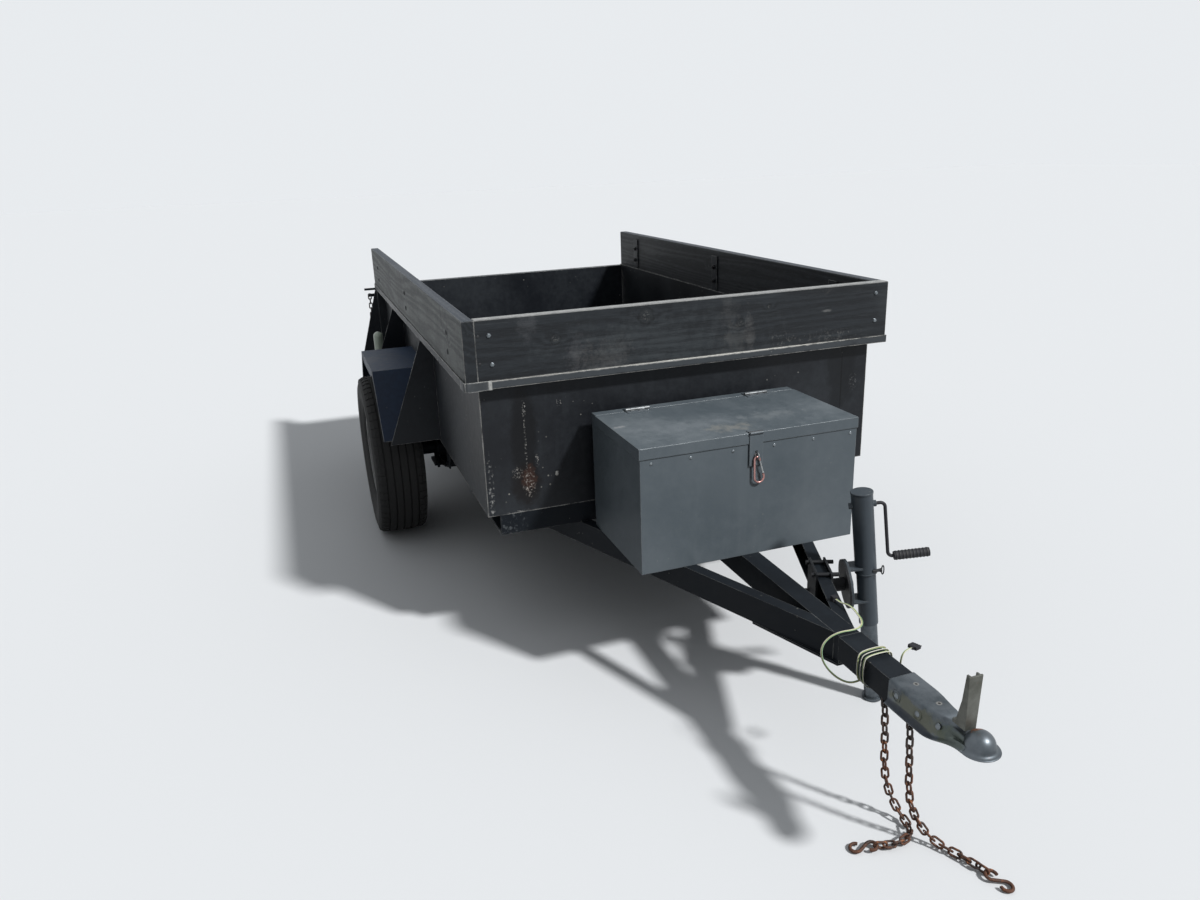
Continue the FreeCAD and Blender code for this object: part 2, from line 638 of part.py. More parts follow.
def build_axle():
    """Axle with its spindles and spring seats, leaf springs below it, hangers, shackles and clamps."""
    shoulder = "(wheel_half - hub_inner - 5)"
    tip = "(wheel_half + disc_seat + 20)"
    outline = [(f"-{tip}", 0), (f"-{tip}", "spindle_radius"), (f"-{shoulder}", "spindle_radius"),
               (f"-{shoulder}", "axle_radius"), (shoulder, "axle_radius"), (shoulder, "spindle_radius"),
               (tip, "spindle_radius"), (tip, 0)]
    shaft = turned("AxleShaft", outline, (AXLE, 0, "tyre_radius"))
    seat = block("SpringSeat", ("2 * axle_radius - 6", "spring_wide", "axle_radius"),
                 (f"{AXLE} - axle_radius + 3", "spring_half - spring_wide / 2",
                  "tyre_radius - axle_radius - seat_tall + seat_fit"))
    node("axle", joined("Axle", [shaft, seat, other_side(seat)]))

    middle = number(AXLE)
    side = number("spring_half - spring_wide / 2")
    wide = number("spring_wide")
    leaf = number("leaf_thick")
    top = number("tyre_radius - axle_radius - seat_tall")
    curve = number("spring_curve")
    centre = Vector(middle, side, top + curve)
    across = Vector(0, 1, 0)
    eye_x = number("spring_span") / 2
    eye_low = top + curve - math.sqrt(curve ** 2 - eye_x ** 2)
    eye_z = eye_low + number("eye_radius") - leaf
    leaves = []
    # Each leaf below the first is shorter by the same share
    for index, share in enumerate((1.0, 0.78, 0.56, 0.34)):
        ring = Part.makeCylinder(curve + leaf * (index + 1), wide, centre, across)
        ring = ring.cut(Part.makeCylinder(curve + leaf * index, wide, centre, across))
        reach = eye_x * share
        leaves.append(ring.common(Part.makeBox(2 * reach, wide, curve / 4, Vector(middle - reach, side, top - 60))))
    for sign in (-1, 1):
        at = Vector(middle + sign * eye_x, side, eye_z)
        leaves.append(Part.makeCylinder(number("eye_radius"), wide, at, across))
    spring = leaves[0].multiFuse(leaves[1:]).removeSplitter()
    for sign in (-1, 1):
        at = Vector(middle + sign * eye_x, side, eye_z)
        spring = spring.cut(Part.makeCylinder(number("eye_pin + eye_fit"), wide, at, across))
    both_sides("leaf_springs", shaped("LeafSpring", spring))

    cheek = "hanger_plate"
    hanger_at = "(spring_half - spring_wide / 2)"
    pin = number("eye_pin")
    pieces = []
    for y_low in (side - number(cheek) - 0.3, side + wide + 0.3):
        outline = [Vector(middle + eye_x - 38, y_low, number("tongue_top")),
                   Vector(middle + eye_x - 20, y_low, eye_z - 20), Vector(middle + eye_x + 20, y_low, eye_z - 20),
                   Vector(middle + eye_x + 38, y_low, number("tongue_top"))]
        plate = Part.Face(Part.makePolygon(outline + outline[:1]))
        pieces.append(plate.extrude(Vector(0, number(cheek), 0)))
    reach = wide + 2 * number(cheek) + 0.6 + 12
    pieces.append(Part.makeCylinder(pin, reach, Vector(middle + eye_x, side - (reach - wide) / 2, eye_z), across))
    front = pieces[0].multiFuse(pieces[1:])
    link_x = middle - eye_x - number("shackle_lean")
    link_z = eye_z + number("shackle_rise")
    post = Part.makeBox(40, wide - 1, number("tongue_top") - link_z + 12,
                        Vector(link_x - 20, side + 0.5, link_z - 12))
    post = post.fuse(Part.makeCylinder(pin, reach - 12, Vector(link_x, side - (reach - 12 - wide) / 2, link_z), across))
    both_sides("spring_hangers", group("HangerSet", [shaped("FrontHanger", front), shaped("RearHanger", post)]))

    plates = []
    for y_low in (side - number(cheek) - 0.3, side + wide + 0.3):
        low = Vector(middle - eye_x, y_low, eye_z)
        high = Vector(link_x, y_low, link_z)
        bar = plate_between(low, high, 13, number(cheek))
        plates.append(bar.cut(Part.makeCylinder(number("eye_pin + eye_fit"), 30, high - Vector(0, 10, 0), across)))
    bolt = Part.makeCylinder(pin, reach - 12, Vector(middle - eye_x, side - (reach - 12 - wide) / 2, eye_z), across)
    both_sides("spring_shackles", shaped("Shackle", plates[0].multiFuse([plates[1], bolt])))

    hook = number("ubolt_radius")
    loop = number("axle_radius") + 0.4 + hook
    pack = top - 4 * leaf
    long, broad, thick = number("clamp_long"), number("clamp_wide"), number("clamp_plate")
    clamp = Part.makeBox(long, broad, thick, Vector(middle - long / 2, side + wide / 2 - broad / 2, pack - thick))
    for y in (side - hook - 0.5, side + wide + hook + 0.5):
        axle_z = number("tyre_radius")
        foot = pack - thick - 14
        left = Vector(middle - loop, y, axle_z)
        right = Vector(middle + loop, y, axle_z)
        path = Part.Wire([Part.LineSegment(Vector(left.x, y, foot), left).toShape(),
                          Part.Arc(left, Vector(middle, y, axle_z + loop), right).toShape(),
                          Part.LineSegment(right, Vector(right.x, y, foot)).toShape()])
        section = Part.Wire([Part.Circle(Vector(left.x, y, foot), Vector(0, 0, 1), hook).toShape()])
        clamp = clamp.fuse(path.makePipeShell([section], True, False))
    both_sides("axle_clamps", shaped("AxleClamp", clamp))


def plate_between(low, high, radius, thick):
    """A flat bar with round ends, in a plane across Y."""
    along = (high - low).normalize()
    across = Vector(along.z, 0, -along.x)
    tips = [low - along * radius, high + along * radius]
    corners = [low + across * radius, low - across * radius, high - across * radius, high + across * radius]
    edges = [Part.Arc(corners[0], tips[0], corners[1]).toShape(),
             Part.LineSegment(corners[1], corners[2]).toShape(),
             Part.Arc(corners[2], tips[1], corners[3]).toShape(),
             Part.LineSegment(corners[3], corners[0]).toShape()]
    return Part.Face(Part.Wire(edges)).extrude(Vector(0, thick, 0))


def build_wheel(side):
    """Tyre, pressed rim and hub of one wheel, in its own frame with Y outward, then set on its side."""
    sign = 1 if side == "left" else -1
    turn = Rotation() if sign > 0 else Rotation(Vector(0, 0, 1), 180)
    at = (AXLE, f"{sign} * wheel_half", "tyre_radius")
    flange = "(bead_radius + rim_flange)"
    outside = [("tread_half", "tyre_radius"), ("tread_half + 15", "tyre_radius - 9"),
               ("tyre_half - 2", "tyre_radius - 28"), ("tyre_half", "tyre_radius - 60"),
               ("tyre_half - 6", "tyre_radius - 100"), ("bead_half + 9", f"{flange} + 5"),
               ("bead_half", f"{flange} + 1"), ("bead_half", "bead_radius + 0.3"),
               ("bead_half - 18", "bead_radius + 0.3")]
    inside = [("bead_half - 16", f"{flange} + 4"), ("tyre_half - 6 - tyre_wall", "tyre_radius - 100"),
              ("tyre_half - tyre_wall + 2", "tyre_radius - 60"), ("tread_half + 4", "tyre_radius - tyre_wall - 6"),
              ("tread_half / 2", "tyre_radius - tyre_wall")]
    half = outside + inside
    outline = half + [(f"-({u})", v) for u, v in reversed(half)]
    node(f"tyre_{side}", turned(f"Tyre_{side}", outline, at, turn))

    well = "(bead_radius - well_drop)"
    lip = [("bead_half + rim_wall", flange), ("bead_half", flange), ("bead_half", "bead_radius"),
           ("bead_half - 24", "bead_radius"), ("bead_half - 38", well)]
    under = [("bead_half - 40", f"{well} - rim_wall"), ("bead_half - 26", "bead_radius - rim_wall"),
             ("bead_half + rim_wall", "bead_radius - rim_wall")]
    rim = DOC.addObject("PartDesign::Body", f"Rim_{side}")
    barrel = lip + [(f"-({u})", v) for u, v in reversed(lip)]
    barrel += [(f"-({u})", v) for u, v in reversed(under)] + under
    dish = [("disc_seat", "pilot_radius + hub_fit"), ("disc_seat", "stud_circle / 2 + 20"),
            ("disc_seat + 16", "stud_circle / 2 + 42"), ("disc_seat + 12", f"{well} - rim_wall - 8"),
            ("disc_seat - 2", f"{well} - rim_wall / 2"), ("disc_seat + 4", f"{well} - rim_wall / 2"),
            ("disc_seat + 17", f"{well} - rim_wall - 8"), ("disc_seat + 21", "stud_circle / 2 + 42"),
            ("disc_seat + 5", "stud_circle / 2 + 20"), ("disc_seat + 5", "pilot_radius + hub_fit")]
    for name, profile in (("barrel", barrel), ("dish", dish)):
        sketch = sketch_outline(rim, f"Rim_{side}_{name}_outline", "YZ", profile)
        revolution = rim.newObject("PartDesign::Revolution", f"Rim_{side}_{name}")
        revolution.Profile = sketch
        revolution.ReferenceAxis = (sketch, ["H_Axis"])
        revolution.Angle = 360
    DOC.recompute()
    solid = number(revolution.Shape.Volume)
    for name, circle, bore, count in (("stud", "stud_circle", "stud_bore", 5), ("vent", "vent_circle", "vent_bore", 8)):
        sketch = sketch_outline(rim, f"Rim_{side}_{name}_outline", "XZ", [], [(0, f"{circle} / 2", bore)])
        pocket = rim.newObject("PartDesign::Pocket", f"Rim_{side}_{name}_hole")
        pocket.Profile = sketch
        pocket.Midplane = True
        pocket.Length = 4 * number("bead_half")
        ring = rim.newObject("PartDesign::PolarPattern", f"Rim_{side}_{name}_ring")
        ring.Originals = [pocket]
        ring.Axis = (sketch, ["N_Axis"])
        ring.Angle = 360
        ring.Occurrences = count
        rim.Tip = ring
        DOC.recompute()
        assert ring.Shape.Volume < solid - 1, f"the {name} holes cut nothing"
        solid = ring.Shape.Volume
    node(f"rim_{side}", place(rim, at, turn))

    bore = "(spindle_radius + spindle_fit)"
    hub = [("-hub_inner", bore), ("disc_seat + 22", bore), ("disc_seat + 22", 0), ("disc_seat + 42", 0),
           ("disc_seat + 42", "spindle_radius"), ("disc_seat + 34", "spindle_radius + 7"),
           ("disc_seat + 24", "spindle_radius + 7"), ("disc_seat + 24", "pilot_radius"),
           ("disc_seat", "pilot_radius"), ("disc_seat", "stud_circle / 2 + 15"),
           ("disc_seat - 10", "stud_circle / 2 + 15"), ("disc_seat - 10", "pilot_radius + 8"),
           ("-hub_inner", "pilot_radius + 4")]
    node(f"hub_{side}", turned(f"Hub_{side}", hub, at, turn))


def build_tailgate():
    """A framed gate between the walls, its hinges below, and the rod that drops into the hooks above."""
    half = f"({WALL_INNER} - gate_gap)"
    low = f"({FLOOR_TOP} + gate_gap)"
    tall = f"(flange_top - sheet_thick - {low})"
    bar_deep = "(gate_deep - sheet_thick)"
    skin = block("GateSkin", ("sheet_thick", f"2 * {half}", tall), (f"{REAR} + {bar_deep}", f"-{half}", low))
    pieces = [skin]
    for name, z in (("GateSill", low), ("GateHead", f"{low} + {tall} - gate_bar")):
        pieces.append(block(name, (bar_deep, f"2 * {half}", "gate_bar"), (REAR, f"-{half}", z)))
    for index, y in enumerate((f"-{half}", f"-{half} / 3 - gate_bar / 2", f"{half} / 3 - gate_bar / 2",
                               f"{half} - gate_bar")):
        pieces.append(block(f"GatePost{index}", (bar_deep, "gate_bar", tall), (REAR, y, low)))
    node("tailgate", joined("Tailgate", pieces))
    axis_x = f"({REAR} - gate_axis_back)"
    straps = []
    lugs = []
    for index, side in enumerate((f"-{half} * 3 / 4", 0, f"{half} * 3 / 4")):
        start = f"({side} - gate_knuckle_long / 2)"
        bore = drum(f"KnuckleBore{index}", "gate_pin + pin_fit", "gate_knuckle_long + 2",
                    (axis_x, f"{start} - 1", FRAME_TOP), "Y")
        leaf = block(f"GateLeaf{index}", ("gate_axis_back", "gate_knuckle_long", "2 * gate_bar"),
                     (f"{REAR} - gate_axis_back", start, FRAME_TOP))
        relief = block(f"LeafRelief{index}", ("gate_axis_back", "gate_knuckle_long", "2 * gate_bar"),
                       (f"{REAR} - gate_axis_back - 5", start, f"{FRAME_TOP} + gate_knuckle + 2"))
        knuckle = drum(f"GateKnuckle{index}", "gate_knuckle", "gate_knuckle_long", (axis_x, start, FRAME_TOP), "Y")
        straps.append(cut(f"GateStrap{index}", joined(f"GateStrapSolid{index}",
                                                      [cut(f"GateLeafCut{index}", leaf, relief), knuckle]), bore))
        ends = [drum(f"HingePin{index}", "gate_pin", "3 * gate_knuckle_long",
                     (axis_x, f"{side} - gate_knuckle_long * 3 / 2", FRAME_TOP), "Y")]
        for name, at in (("A", f"{start} - 1 - gate_knuckle_long"), ("B", f"{start} + gate_knuckle_long + 1")):
            ends.append(drum(f"LugKnuckle{index}{name}", "gate_knuckle", "gate_knuckle_long",
                             (axis_x, at, FRAME_TOP), "Y"))
            ends.append(block(f"LugFoot{index}{name}", ("gate_axis_back", "gate_knuckle_long", "gate_bar"),
                              (axis_x, at, f"{FRAME_TOP} - gate_bar")))
        lugs.append(joined(f"GateLug{index}", ends))
    node("gate_hinge_straps", group("GateStraps", straps))
    node("gate_hinge_lugs", group("GateLugs", lugs))
    rod_z = "(flange_top - rod_drop)"
    rod_x = f"({REAR} - rod_gap - rod_radius)"
    bar = [drum("GateBar", "rod_radius", f"2 * {ROD_HALF}", (rod_x, f"-{ROD_HALF}", rod_z), "Y")]
    for index, side in enumerate((f"-{half} * 3 / 4", 0, f"{half} * 3 / 4")):
        bar.append(block(f"BarSaddle{index}", ("rod_gap + rod_radius", "gate_knuckle_long", "3 * rod_radius"),
                         (rod_x, f"{side} - gate_knuckle_long / 2", f"{rod_z} - 3 * rod_radius / 2")))
    node("gate_rod", joined("GateRod", bar))
    tip = "(rod_gap + 2 * rod_radius + 6)"
    hook = [(0, f"{rod_z} - rod_radius - 16"), (f"-{tip}", f"{rod_z} - rod_radius - 16"),
            (f"-{tip}", f"{rod_z} - rod_radius - 1"), (0, f"{rod_z} - rod_radius - 1")]
    shelf = prism("GateHook", "XZ", hook, "stake_thick", (REAR, "wall_half + hook_inset", 0))
    tab = block("ChainTab", ("stake_thick", f"{CHAIN_HALF} + tab_half - {POST_HALF} + 2 * tab_half", "2 * tab_half"),
                (f"{REAR} - stake_thick", f"{POST_HALF} - 2 * tab_half", f"{rod_z} - chain_drop - tab_half"))
    peg = drum("ChainPeg", "chain_eye", "eye_at + 6", (f"{REAR} - eye_at - 6", CHAIN_HALF, f"{rod_z} - chain_drop"), "X")
    eye = joined("ChainEye", [tab, peg])
    node("gate_hooks", group("GateHooks", [shelf, other_side(shelf), eye, other_side(eye)]))


def build_toolbox():
    """Folded steel box on the tongue, its lid, two butt hinges, hasp, staple and spring ring."""
    front = f"({FRONT} + box_back + box_deep)"
    skin = "(box_sheet + lid_fit)"
    back = f"({FRONT} + box_back + {skin})"
    half = f"(box_half - {skin})"
    rim = "(lid_top - box_sheet - rim_gap)"
    outside = block("BoxOutside", (f"box_deep - 2 * {skin}", f"2 * {half}", f"{rim} - tongue_top"),
                    (back, f"-{half}", "tongue_top"))
    inside = block("BoxInside", (f"box_deep - 2 * {skin} - 2 * box_sheet", f"2 * ({half} - box_sheet)", "lid_top"),
                   (f"{back} + box_sheet", f"-({half} - box_sheet)", "tongue_top + box_sheet"))
    strip = block("BoxStrip", ("strip_deep", f"2 * {half}", "box_sheet + rim_gap"),
                  (f"{FRONT} + box_back", f"-{half}", rim))
    node("toolbox", joined("Toolbox", [cut("BoxShell", outside, inside), strip]))
    lid_start = f"({FRONT} + lid_axis_reach + 1.5)"
    lid_long = f"({front} - {lid_start})"
    node("toolbox_lid", cut("Lid",
         block("LidOutside", (lid_long, "2 * box_half", "lid_lip"), (lid_start, "-box_half", "lid_top - lid_lip")),
         block("LidInside", (f"{lid_long} - box_sheet", "2 * (box_half - box_sheet)", "lid_lip"),
               (lid_start, "-(box_half - box_sheet)", "lid_top - lid_lip - box_sheet"))))
    axis_x = f"({FRONT} + lid_axis_reach)"
    axis_z = "(lid_top + lid_axis_rise)"
    fixed = []
    moving = []
    share = "(hinge_long / 5)"
    clear = "(lid_knuckle + 0.5)"
    for index, side in enumerate(("-hinge_half", "hinge_half")):
        start = f"({side} - hinge_long / 2)"
        still = [drum(f"LidPin{index}", "lid_pin", "hinge_long", (axis_x, start, axis_z), "Y"),
                 block(f"StillLeaf{index}", ("leaf_deep", "hinge_long", "box_sheet"),
                       (f"{axis_x} - leaf_deep - {clear}", start, "lid_top"))]
        swing = [block(f"SwingLeaf{index}", ("leaf_deep", "hinge_long", "box_sheet"),
                       (f"{axis_x} + {clear}", start, "lid_top"))]
        for step in range(5):
            at = f"({start} + {step} * {share} + 0.2)"
            long = f"({share} - 0.4)"
            knuckle = drum(f"LidKnuckle{index}{step}", "lid_knuckle", long, (axis_x, at, axis_z), "Y")
            tab_x = axis_x if step % 2 else f"{axis_x} - {clear}"
            tab = block(f"LidTab{index}{step}", (clear, long, "box_sheet"), (tab_x, at, "lid_top"))
            (swing if step % 2 else still).extend([knuckle, tab])
        fixed.append(joined(f"StillHinge{index}", still))
        bore = drum(f"LidBore{index}", "lid_pin + pin_fit", "hinge_long", (axis_x, start, axis_z), "Y")
        moving.append(cut(f"SwingHinge{index}", joined(f"SwingSolid{index}", swing), bore))
    node("box_hinge_leaves", group("StillHinges", fixed))
    node("lid_hinge_leaves", group("SwingHinges", moving))
    hasp_x = f"({front} + rim_gap)"
    slot_half = "(staple_loop + staple_wire + 1.5)"
    plate = block("HaspPlate", ("box_sheet", "hasp_wide", "lid_top - box_sheet - hasp_low"),
                  (hasp_x, "hasp_side - hasp_wide / 2", "hasp_low"))
    slot = block("HaspSlot", ("4 * box_sheet", "2 * (staple_wire + 1.5)", f"2 * {slot_half}"),
                 (f"{hasp_x} - box_sheet", "hasp_side - staple_wire - 1.5", f"staple_rise - {slot_half}"))
    barrel = drum("HaspBarrel", "1.75 * box_sheet", "hasp_wide",
                  (f"{front} + rim_gap + 1.75 * box_sheet", "hasp_side - hasp_wide / 2", "lid_top"), "Y")
    crown = block("HaspCrown", ("12 * box_sheet", "hasp_wide", "box_sheet"),
                  (f"{front} - 11 * box_sheet", "hasp_side - hasp_wide / 2", "lid_top"))
    node("hasp_leaf", joined("HaspLeaf", [cut("HaspSlotted", plate, slot), barrel, crown]))
    wall_x = number(f"{front} - {skin}")
    side = number("hasp_side")
    rise = number("staple_rise")
    loop = number("staple_loop")
    wire = number("staple_wire")
    bend_x = wall_x + 11
    low, high = Vector(wall_x, side, rise - loop), Vector(wall_x, side, rise + loop)
    path = Part.Wire([Part.LineSegment(low, Vector(bend_x, side, low.z)).toShape(),
                      Part.Arc(Vector(bend_x, side, low.z), Vector(bend_x + loop, side, rise),
                               Vector(bend_x, side, high.z)).toShape(),
                      Part.LineSegment(Vector(bend_x, side, high.z), high).toShape()])
    section = Part.Wire([Part.Circle(low, Vector(1, 0, 0), wire).toShape()])
    base = Part.makeBox(1.5, 18, 40, Vector(wall_x, side - 9, rise - 20))
    node("hasp_staple", shaped("HaspStaple", path.makePipeShell([section], True, False).fuse(base)))
    ring_x = bend_x - 1
    ring_top = rise - loop + wire + number("ring_wire") + 0.5
    small, large = 8.0, 15.0
    drop = number("ring_tall") - small - large
    head = Vector(ring_x, side, ring_top - small)
    tail = Vector(ring_x, side + 8, ring_top - small - drop)
    node("spring_ring", shaped("SpringRing", ring_solid(head, tail, small, large, number("ring_wire"))))


def ring_solid(head, tail, small, large, wire):
    """A closed ring of round wire: a small arc above a large one, in a plane across X."""
    along = (head - tail).normalize()
    across = Vector(0, along.z, -along.y)
    lean = math.asin((large - small) / (head - tail).Length)
    side = [across * math.cos(lean) + along * math.sin(lean), across * -math.cos(lean) + along * math.sin(lean)]
    edges = [Part.Arc(head + side[0] * small, head + along * small, head + side[1] * small).toShape(),
             Part.LineSegment(head + side[1] * small, tail + side[1] * large).toShape(),
             Part.Arc(tail + side[1] * large, tail - along * large, tail + side[0] * large).toShape(),
             Part.LineSegment(tail + side[0] * large, head + side[0] * small).toShape()]
    path = Part.Wire(edges)
    start = head + side[0] * small
    section = Part.Wire([Part.Circle(start, edges[0].tangentAt(edges[0].FirstParameter), wire).toShape()])
    return path.makePipeShell([section], True, False)


def jack_frame():
    """The square frame on the left diagonal's web, X forward along it and Y outward, at ground height."""
    angle = math.radians(number("tongue_angle"))
    station = number("junction_reach - box_back - box_deep - jack_ahead") / math.cos(angle)
    at = Vector(number(f"{FRONT} + junction_reach") - station * math.cos(angle),
                number(TUBE_HALF) + station * math.sin(angle), 0)
    return Placement(at, Rotation(Vector(0, 0, -1), number("tongue_angle")))


def build_jack():
    """Swivel jack clamped to the left diagonal: mount, swivelling outer tube, crank and sliding leg."""
    square = jack_frame()
    # The jack's own frame has its origin on the swivel's axis at the web, Z up its tube and Y out along the axis
    lean = Placement(Vector(0, 0, number("swivel_height")), Rotation(Vector(1, 0, 0), number("jack_lean")))
    frame = square.multiply(lean)
    outward = Vector(0, 1, 0)
    low, high = number(CHANNEL_LOW), number("tongue_top")
    half = number("mount_half")
    bolt = number("mount_bolt")
    plate = number("plate_thick")
    web_in = -number("channel_flange")
    disc_at, thick, gap = number("swivel_at"), number("swivel_thick"), number("swivel_gap")
    disc, pin = number("swivel_disc"), number("swivel_pin")
    pieces = [Part.makeBox(2 * half, plate, high - low + 4 * bolt + 6, Vector(-half, 0, low - 2 * bolt - 3)),
              Part.makeBox(2 * half, plate, high - low + 4 * bolt + 6, Vector(-half, web_in - plate, low - 2 * bolt - 3))]
    for x in (-half + 15, half - 15):
        for z in (low - bolt - 1, high + bolt + 1):
            pieces.append(Part.makeCylinder(bolt, 2 * plate - web_in + 30, Vector(x, web_in - plate - 10, z), outward))
    for piece in (Part.makeCylinder(number("stub_radius"), disc_at - thick - 3, Vector(0, 3, 0), outward),
                  Part.makeCylinder(disc, thick, Vector(0, disc_at - thick, 0), outward),
                  Part.makeCylinder(pin, thick + 12, Vector(0, disc_at, 0), outward)):
        piece.Placement = lean.multiply(piece.Placement)
        pieces.append(piece)
    node("jack_mount", shaped("JackMount", pieces[0].multiFuse(pieces[1:]), square))

    offset = number("jack_offset")
    radius, sleeve = number("jack_radius"), number("jack_sleeve")
    drop, shoulder, rise = number("jack_drop"), number("jack_shoulder"), number("jack_rise")
    arm_start = disc_at + gap
    turn_disc = Part.makeCylinder(disc, thick, Vector(0, arm_start, 0), outward)
    turn_disc = turn_disc.cut(Part.makeCylinder(pin + number("pin_fit"), thick, Vector(0, arm_start, 0), outward))
    tube = [turn_disc, Part.makeCylinder(radius, drop + shoulder, Vector(0, offset, -drop)),
            Part.makeCylinder(sleeve, rise - shoulder, Vector(0, offset, shoulder))]
    spread = number("arm_spread")
    for z in (spread - thick, -spread):
        tube.append(Part.makeBox(2 * radius, offset - arm_start, thick, Vector(-radius, arm_start, z)))
    crank_z = number("crank_rise")
    tube.append(Part.makeCylinder(9, 12, Vector(0, offset - sleeve - 7, crank_z), outward))
    tube.append(Part.makeCylinder(9, 12, Vector(0, offset + sleeve - 5, crank_z), outward))
    outer = tube[0].multiFuse(tube[1:])
    bore = number("leg_radius + leg_fit")
    outer = outer.cut(Part.makeCylinder(bore, drop + rise - 20, Vector(0, offset, -drop)))
    node("jack_tube", shaped("JackTube", outer, frame))

    wire = number("crank_wire")
    start = offset + sleeve + 7.2
    fall = number("crank_drop")
    handle = rod([(0, start, crank_z), (0, start + 24, crank_z), (0, start + 26, crank_z - fall),
                  (0, start + 56, crank_z - fall)], wire, bends=14)
    grip = Part.makeCylinder(number("grip_radius"), number("grip_long"),
                             Vector(0, start + 42, crank_z - fall), outward)
    node("jack_crank", shaped("JackCrank", handle.fuse(grip), frame))

    foot, foot_radius = number("foot_thick"), number("foot_radius")
    angle = math.radians(number("jack_lean"))
    swivel = frame.multVec(Vector(0, offset, 0))
    # The leaning foot stands on its lower rim
    ground = (swivel.z - foot_radius * math.sin(angle)) / math.cos(angle)
    leg = Part.makeCylinder(number("leg_radius"), ground - number("leg_drop"), Vector(0, offset, -ground))
    leg = leg.cut(Part.makeCylinder(number("leg_radius - leg_wall"), ground, Vector(0, offset, foot - ground)))
    sole = Part.makeCylinder(foot_radius, foot, Vector(0, offset, -ground))
    node("jack_leg", shaped("JackLeg", leg.fuse(sole), frame))
    axis = frame.Rotation.multVec(outward)
    up = frame.Rotation.multVec(Vector(0, 0, 1))
    print(f"jack swivel at {swivel.x:.2f} {swivel.y:.2f} {swivel.z:.2f}, axis {axis.x:.6f} {axis.y:.6f} {axis.z:.6f}, "
          f"leg slides along {up.x:.6f} {up.y:.6f} {up.z:.6f}, swivel to sole {ground:.1f}")


def chain_link():
    """One link: an eight-cornered ring with a rectangular hole, flat in its own XZ plane, long along X."""
    wire = number("link_wire")
    half_long = number("link_hole") / 2 + wire
    half_wide = number("link_gap") / 2 + wire
    nip = half_wide * 0.55
    corners = [(half_long, half_wide - nip), (half_long - nip, half_wide)]
    ring = corners + [(-x, z) for x, z in reversed(corners)]
    ring += [(-x, -z) for x, z in ring]
    outline = Part.makePolygon([Vector(x, -wire / 2, z) for x, z in ring + ring[:1]])
    hole_x, hole_z = number("link_hole") / 2, number("link_gap") / 2
    hole = Part.makeBox(2 * hole_x, wire, 2 * hole_z, Vector(-hole_x, -wire / 2, -hole_z))
    return Part.Face(outline).extrude(Vector(0, wire, 0)).cut(hole)


def along(points, distance):
    """The place at a distance along a polyline."""
    left = distance
    for start, end in zip(points, points[1:]):
        if left <= (end - start).Length:
            return start + (end - start) * (left / (end - start).Length)
        left -= (end - start).Length
    return points[-1]


def chain(name, route, wide):
    """Links along a route, each a quarter turn from the one before; the first is wide along a given direction."""
    points = [Vector(*point) for point in route]
    total = sum((end - start).Length for start, end in zip(points, points[1:]))
    places = []
    travelled = 0
    while travelled < total - number("link_pitch"):
        # A link lies along the chord between the places of its two ends; where it lies slack the pitch is shorter
        first = along(points, travelled)
        travelled += number("link_pitch") - (number("link_slack") if first.z < number("slack_below") else 0)
        second = along(points, travelled)
        places.append(((first + second) * 0.5, (second - first).normalize()))
    up = Vector(0, 0, 1)
    widths = []
    for index, (_, direction) in enumerate(places):
        wide = (wide - direction * wide.dot(direction)).normalize()
        widths.append(Rotation(direction, 90 * (index % 2)).multVec(wide))
    laid = [index for index, (middle, _) in enumerate(places) if middle.z < 3 * number("link_wire")]
    if laid:
        # On the ground the links rest on their edges; the hanging ones share the twist that this takes
        direction = places[laid[0]][1]
        upright = (up - direction * up.dot(direction)).normalize()
        angle = math.degrees(math.atan2(upright.cross(widths[laid[0]]).dot(direction), upright.dot(widths[laid[0]])))
        extra = (45 - angle + 45) % 90 - 45
        for index in range(laid[0]):
            widths[index] = Rotation(places[index][1], extra * index / laid[0]).multVec(widths[index])
        start = round((angle + extra - 45) / 90) * 90 + 45
        last = len(places) - 1
        ending = (start + 90 * (last - laid[0])) % 180
        for index in laid:
            direction = places[index][1]
            upright = (up - direction * up.dot(direction)).normalize()
            # The last link stands upright for its hook
            stand = max(0, 3 - (last - index)) / 3 * (45 if ending > 90 else -45)
            widths[index] = Rotation(direction, start + 90 * (index - laid[0]) + stand).multVec(upright)
    links = []
    for (middle, direction), width in zip(places, widths):
        link_copy = chain_link()
        link_copy.Placement = Placement(middle, Rotation(direction, width.cross(direction), width, "XZY"))
        links.append(link_copy)
    print(f"{name}: {len(links)} links, {total:.0f} long")
    return links, places[-1]


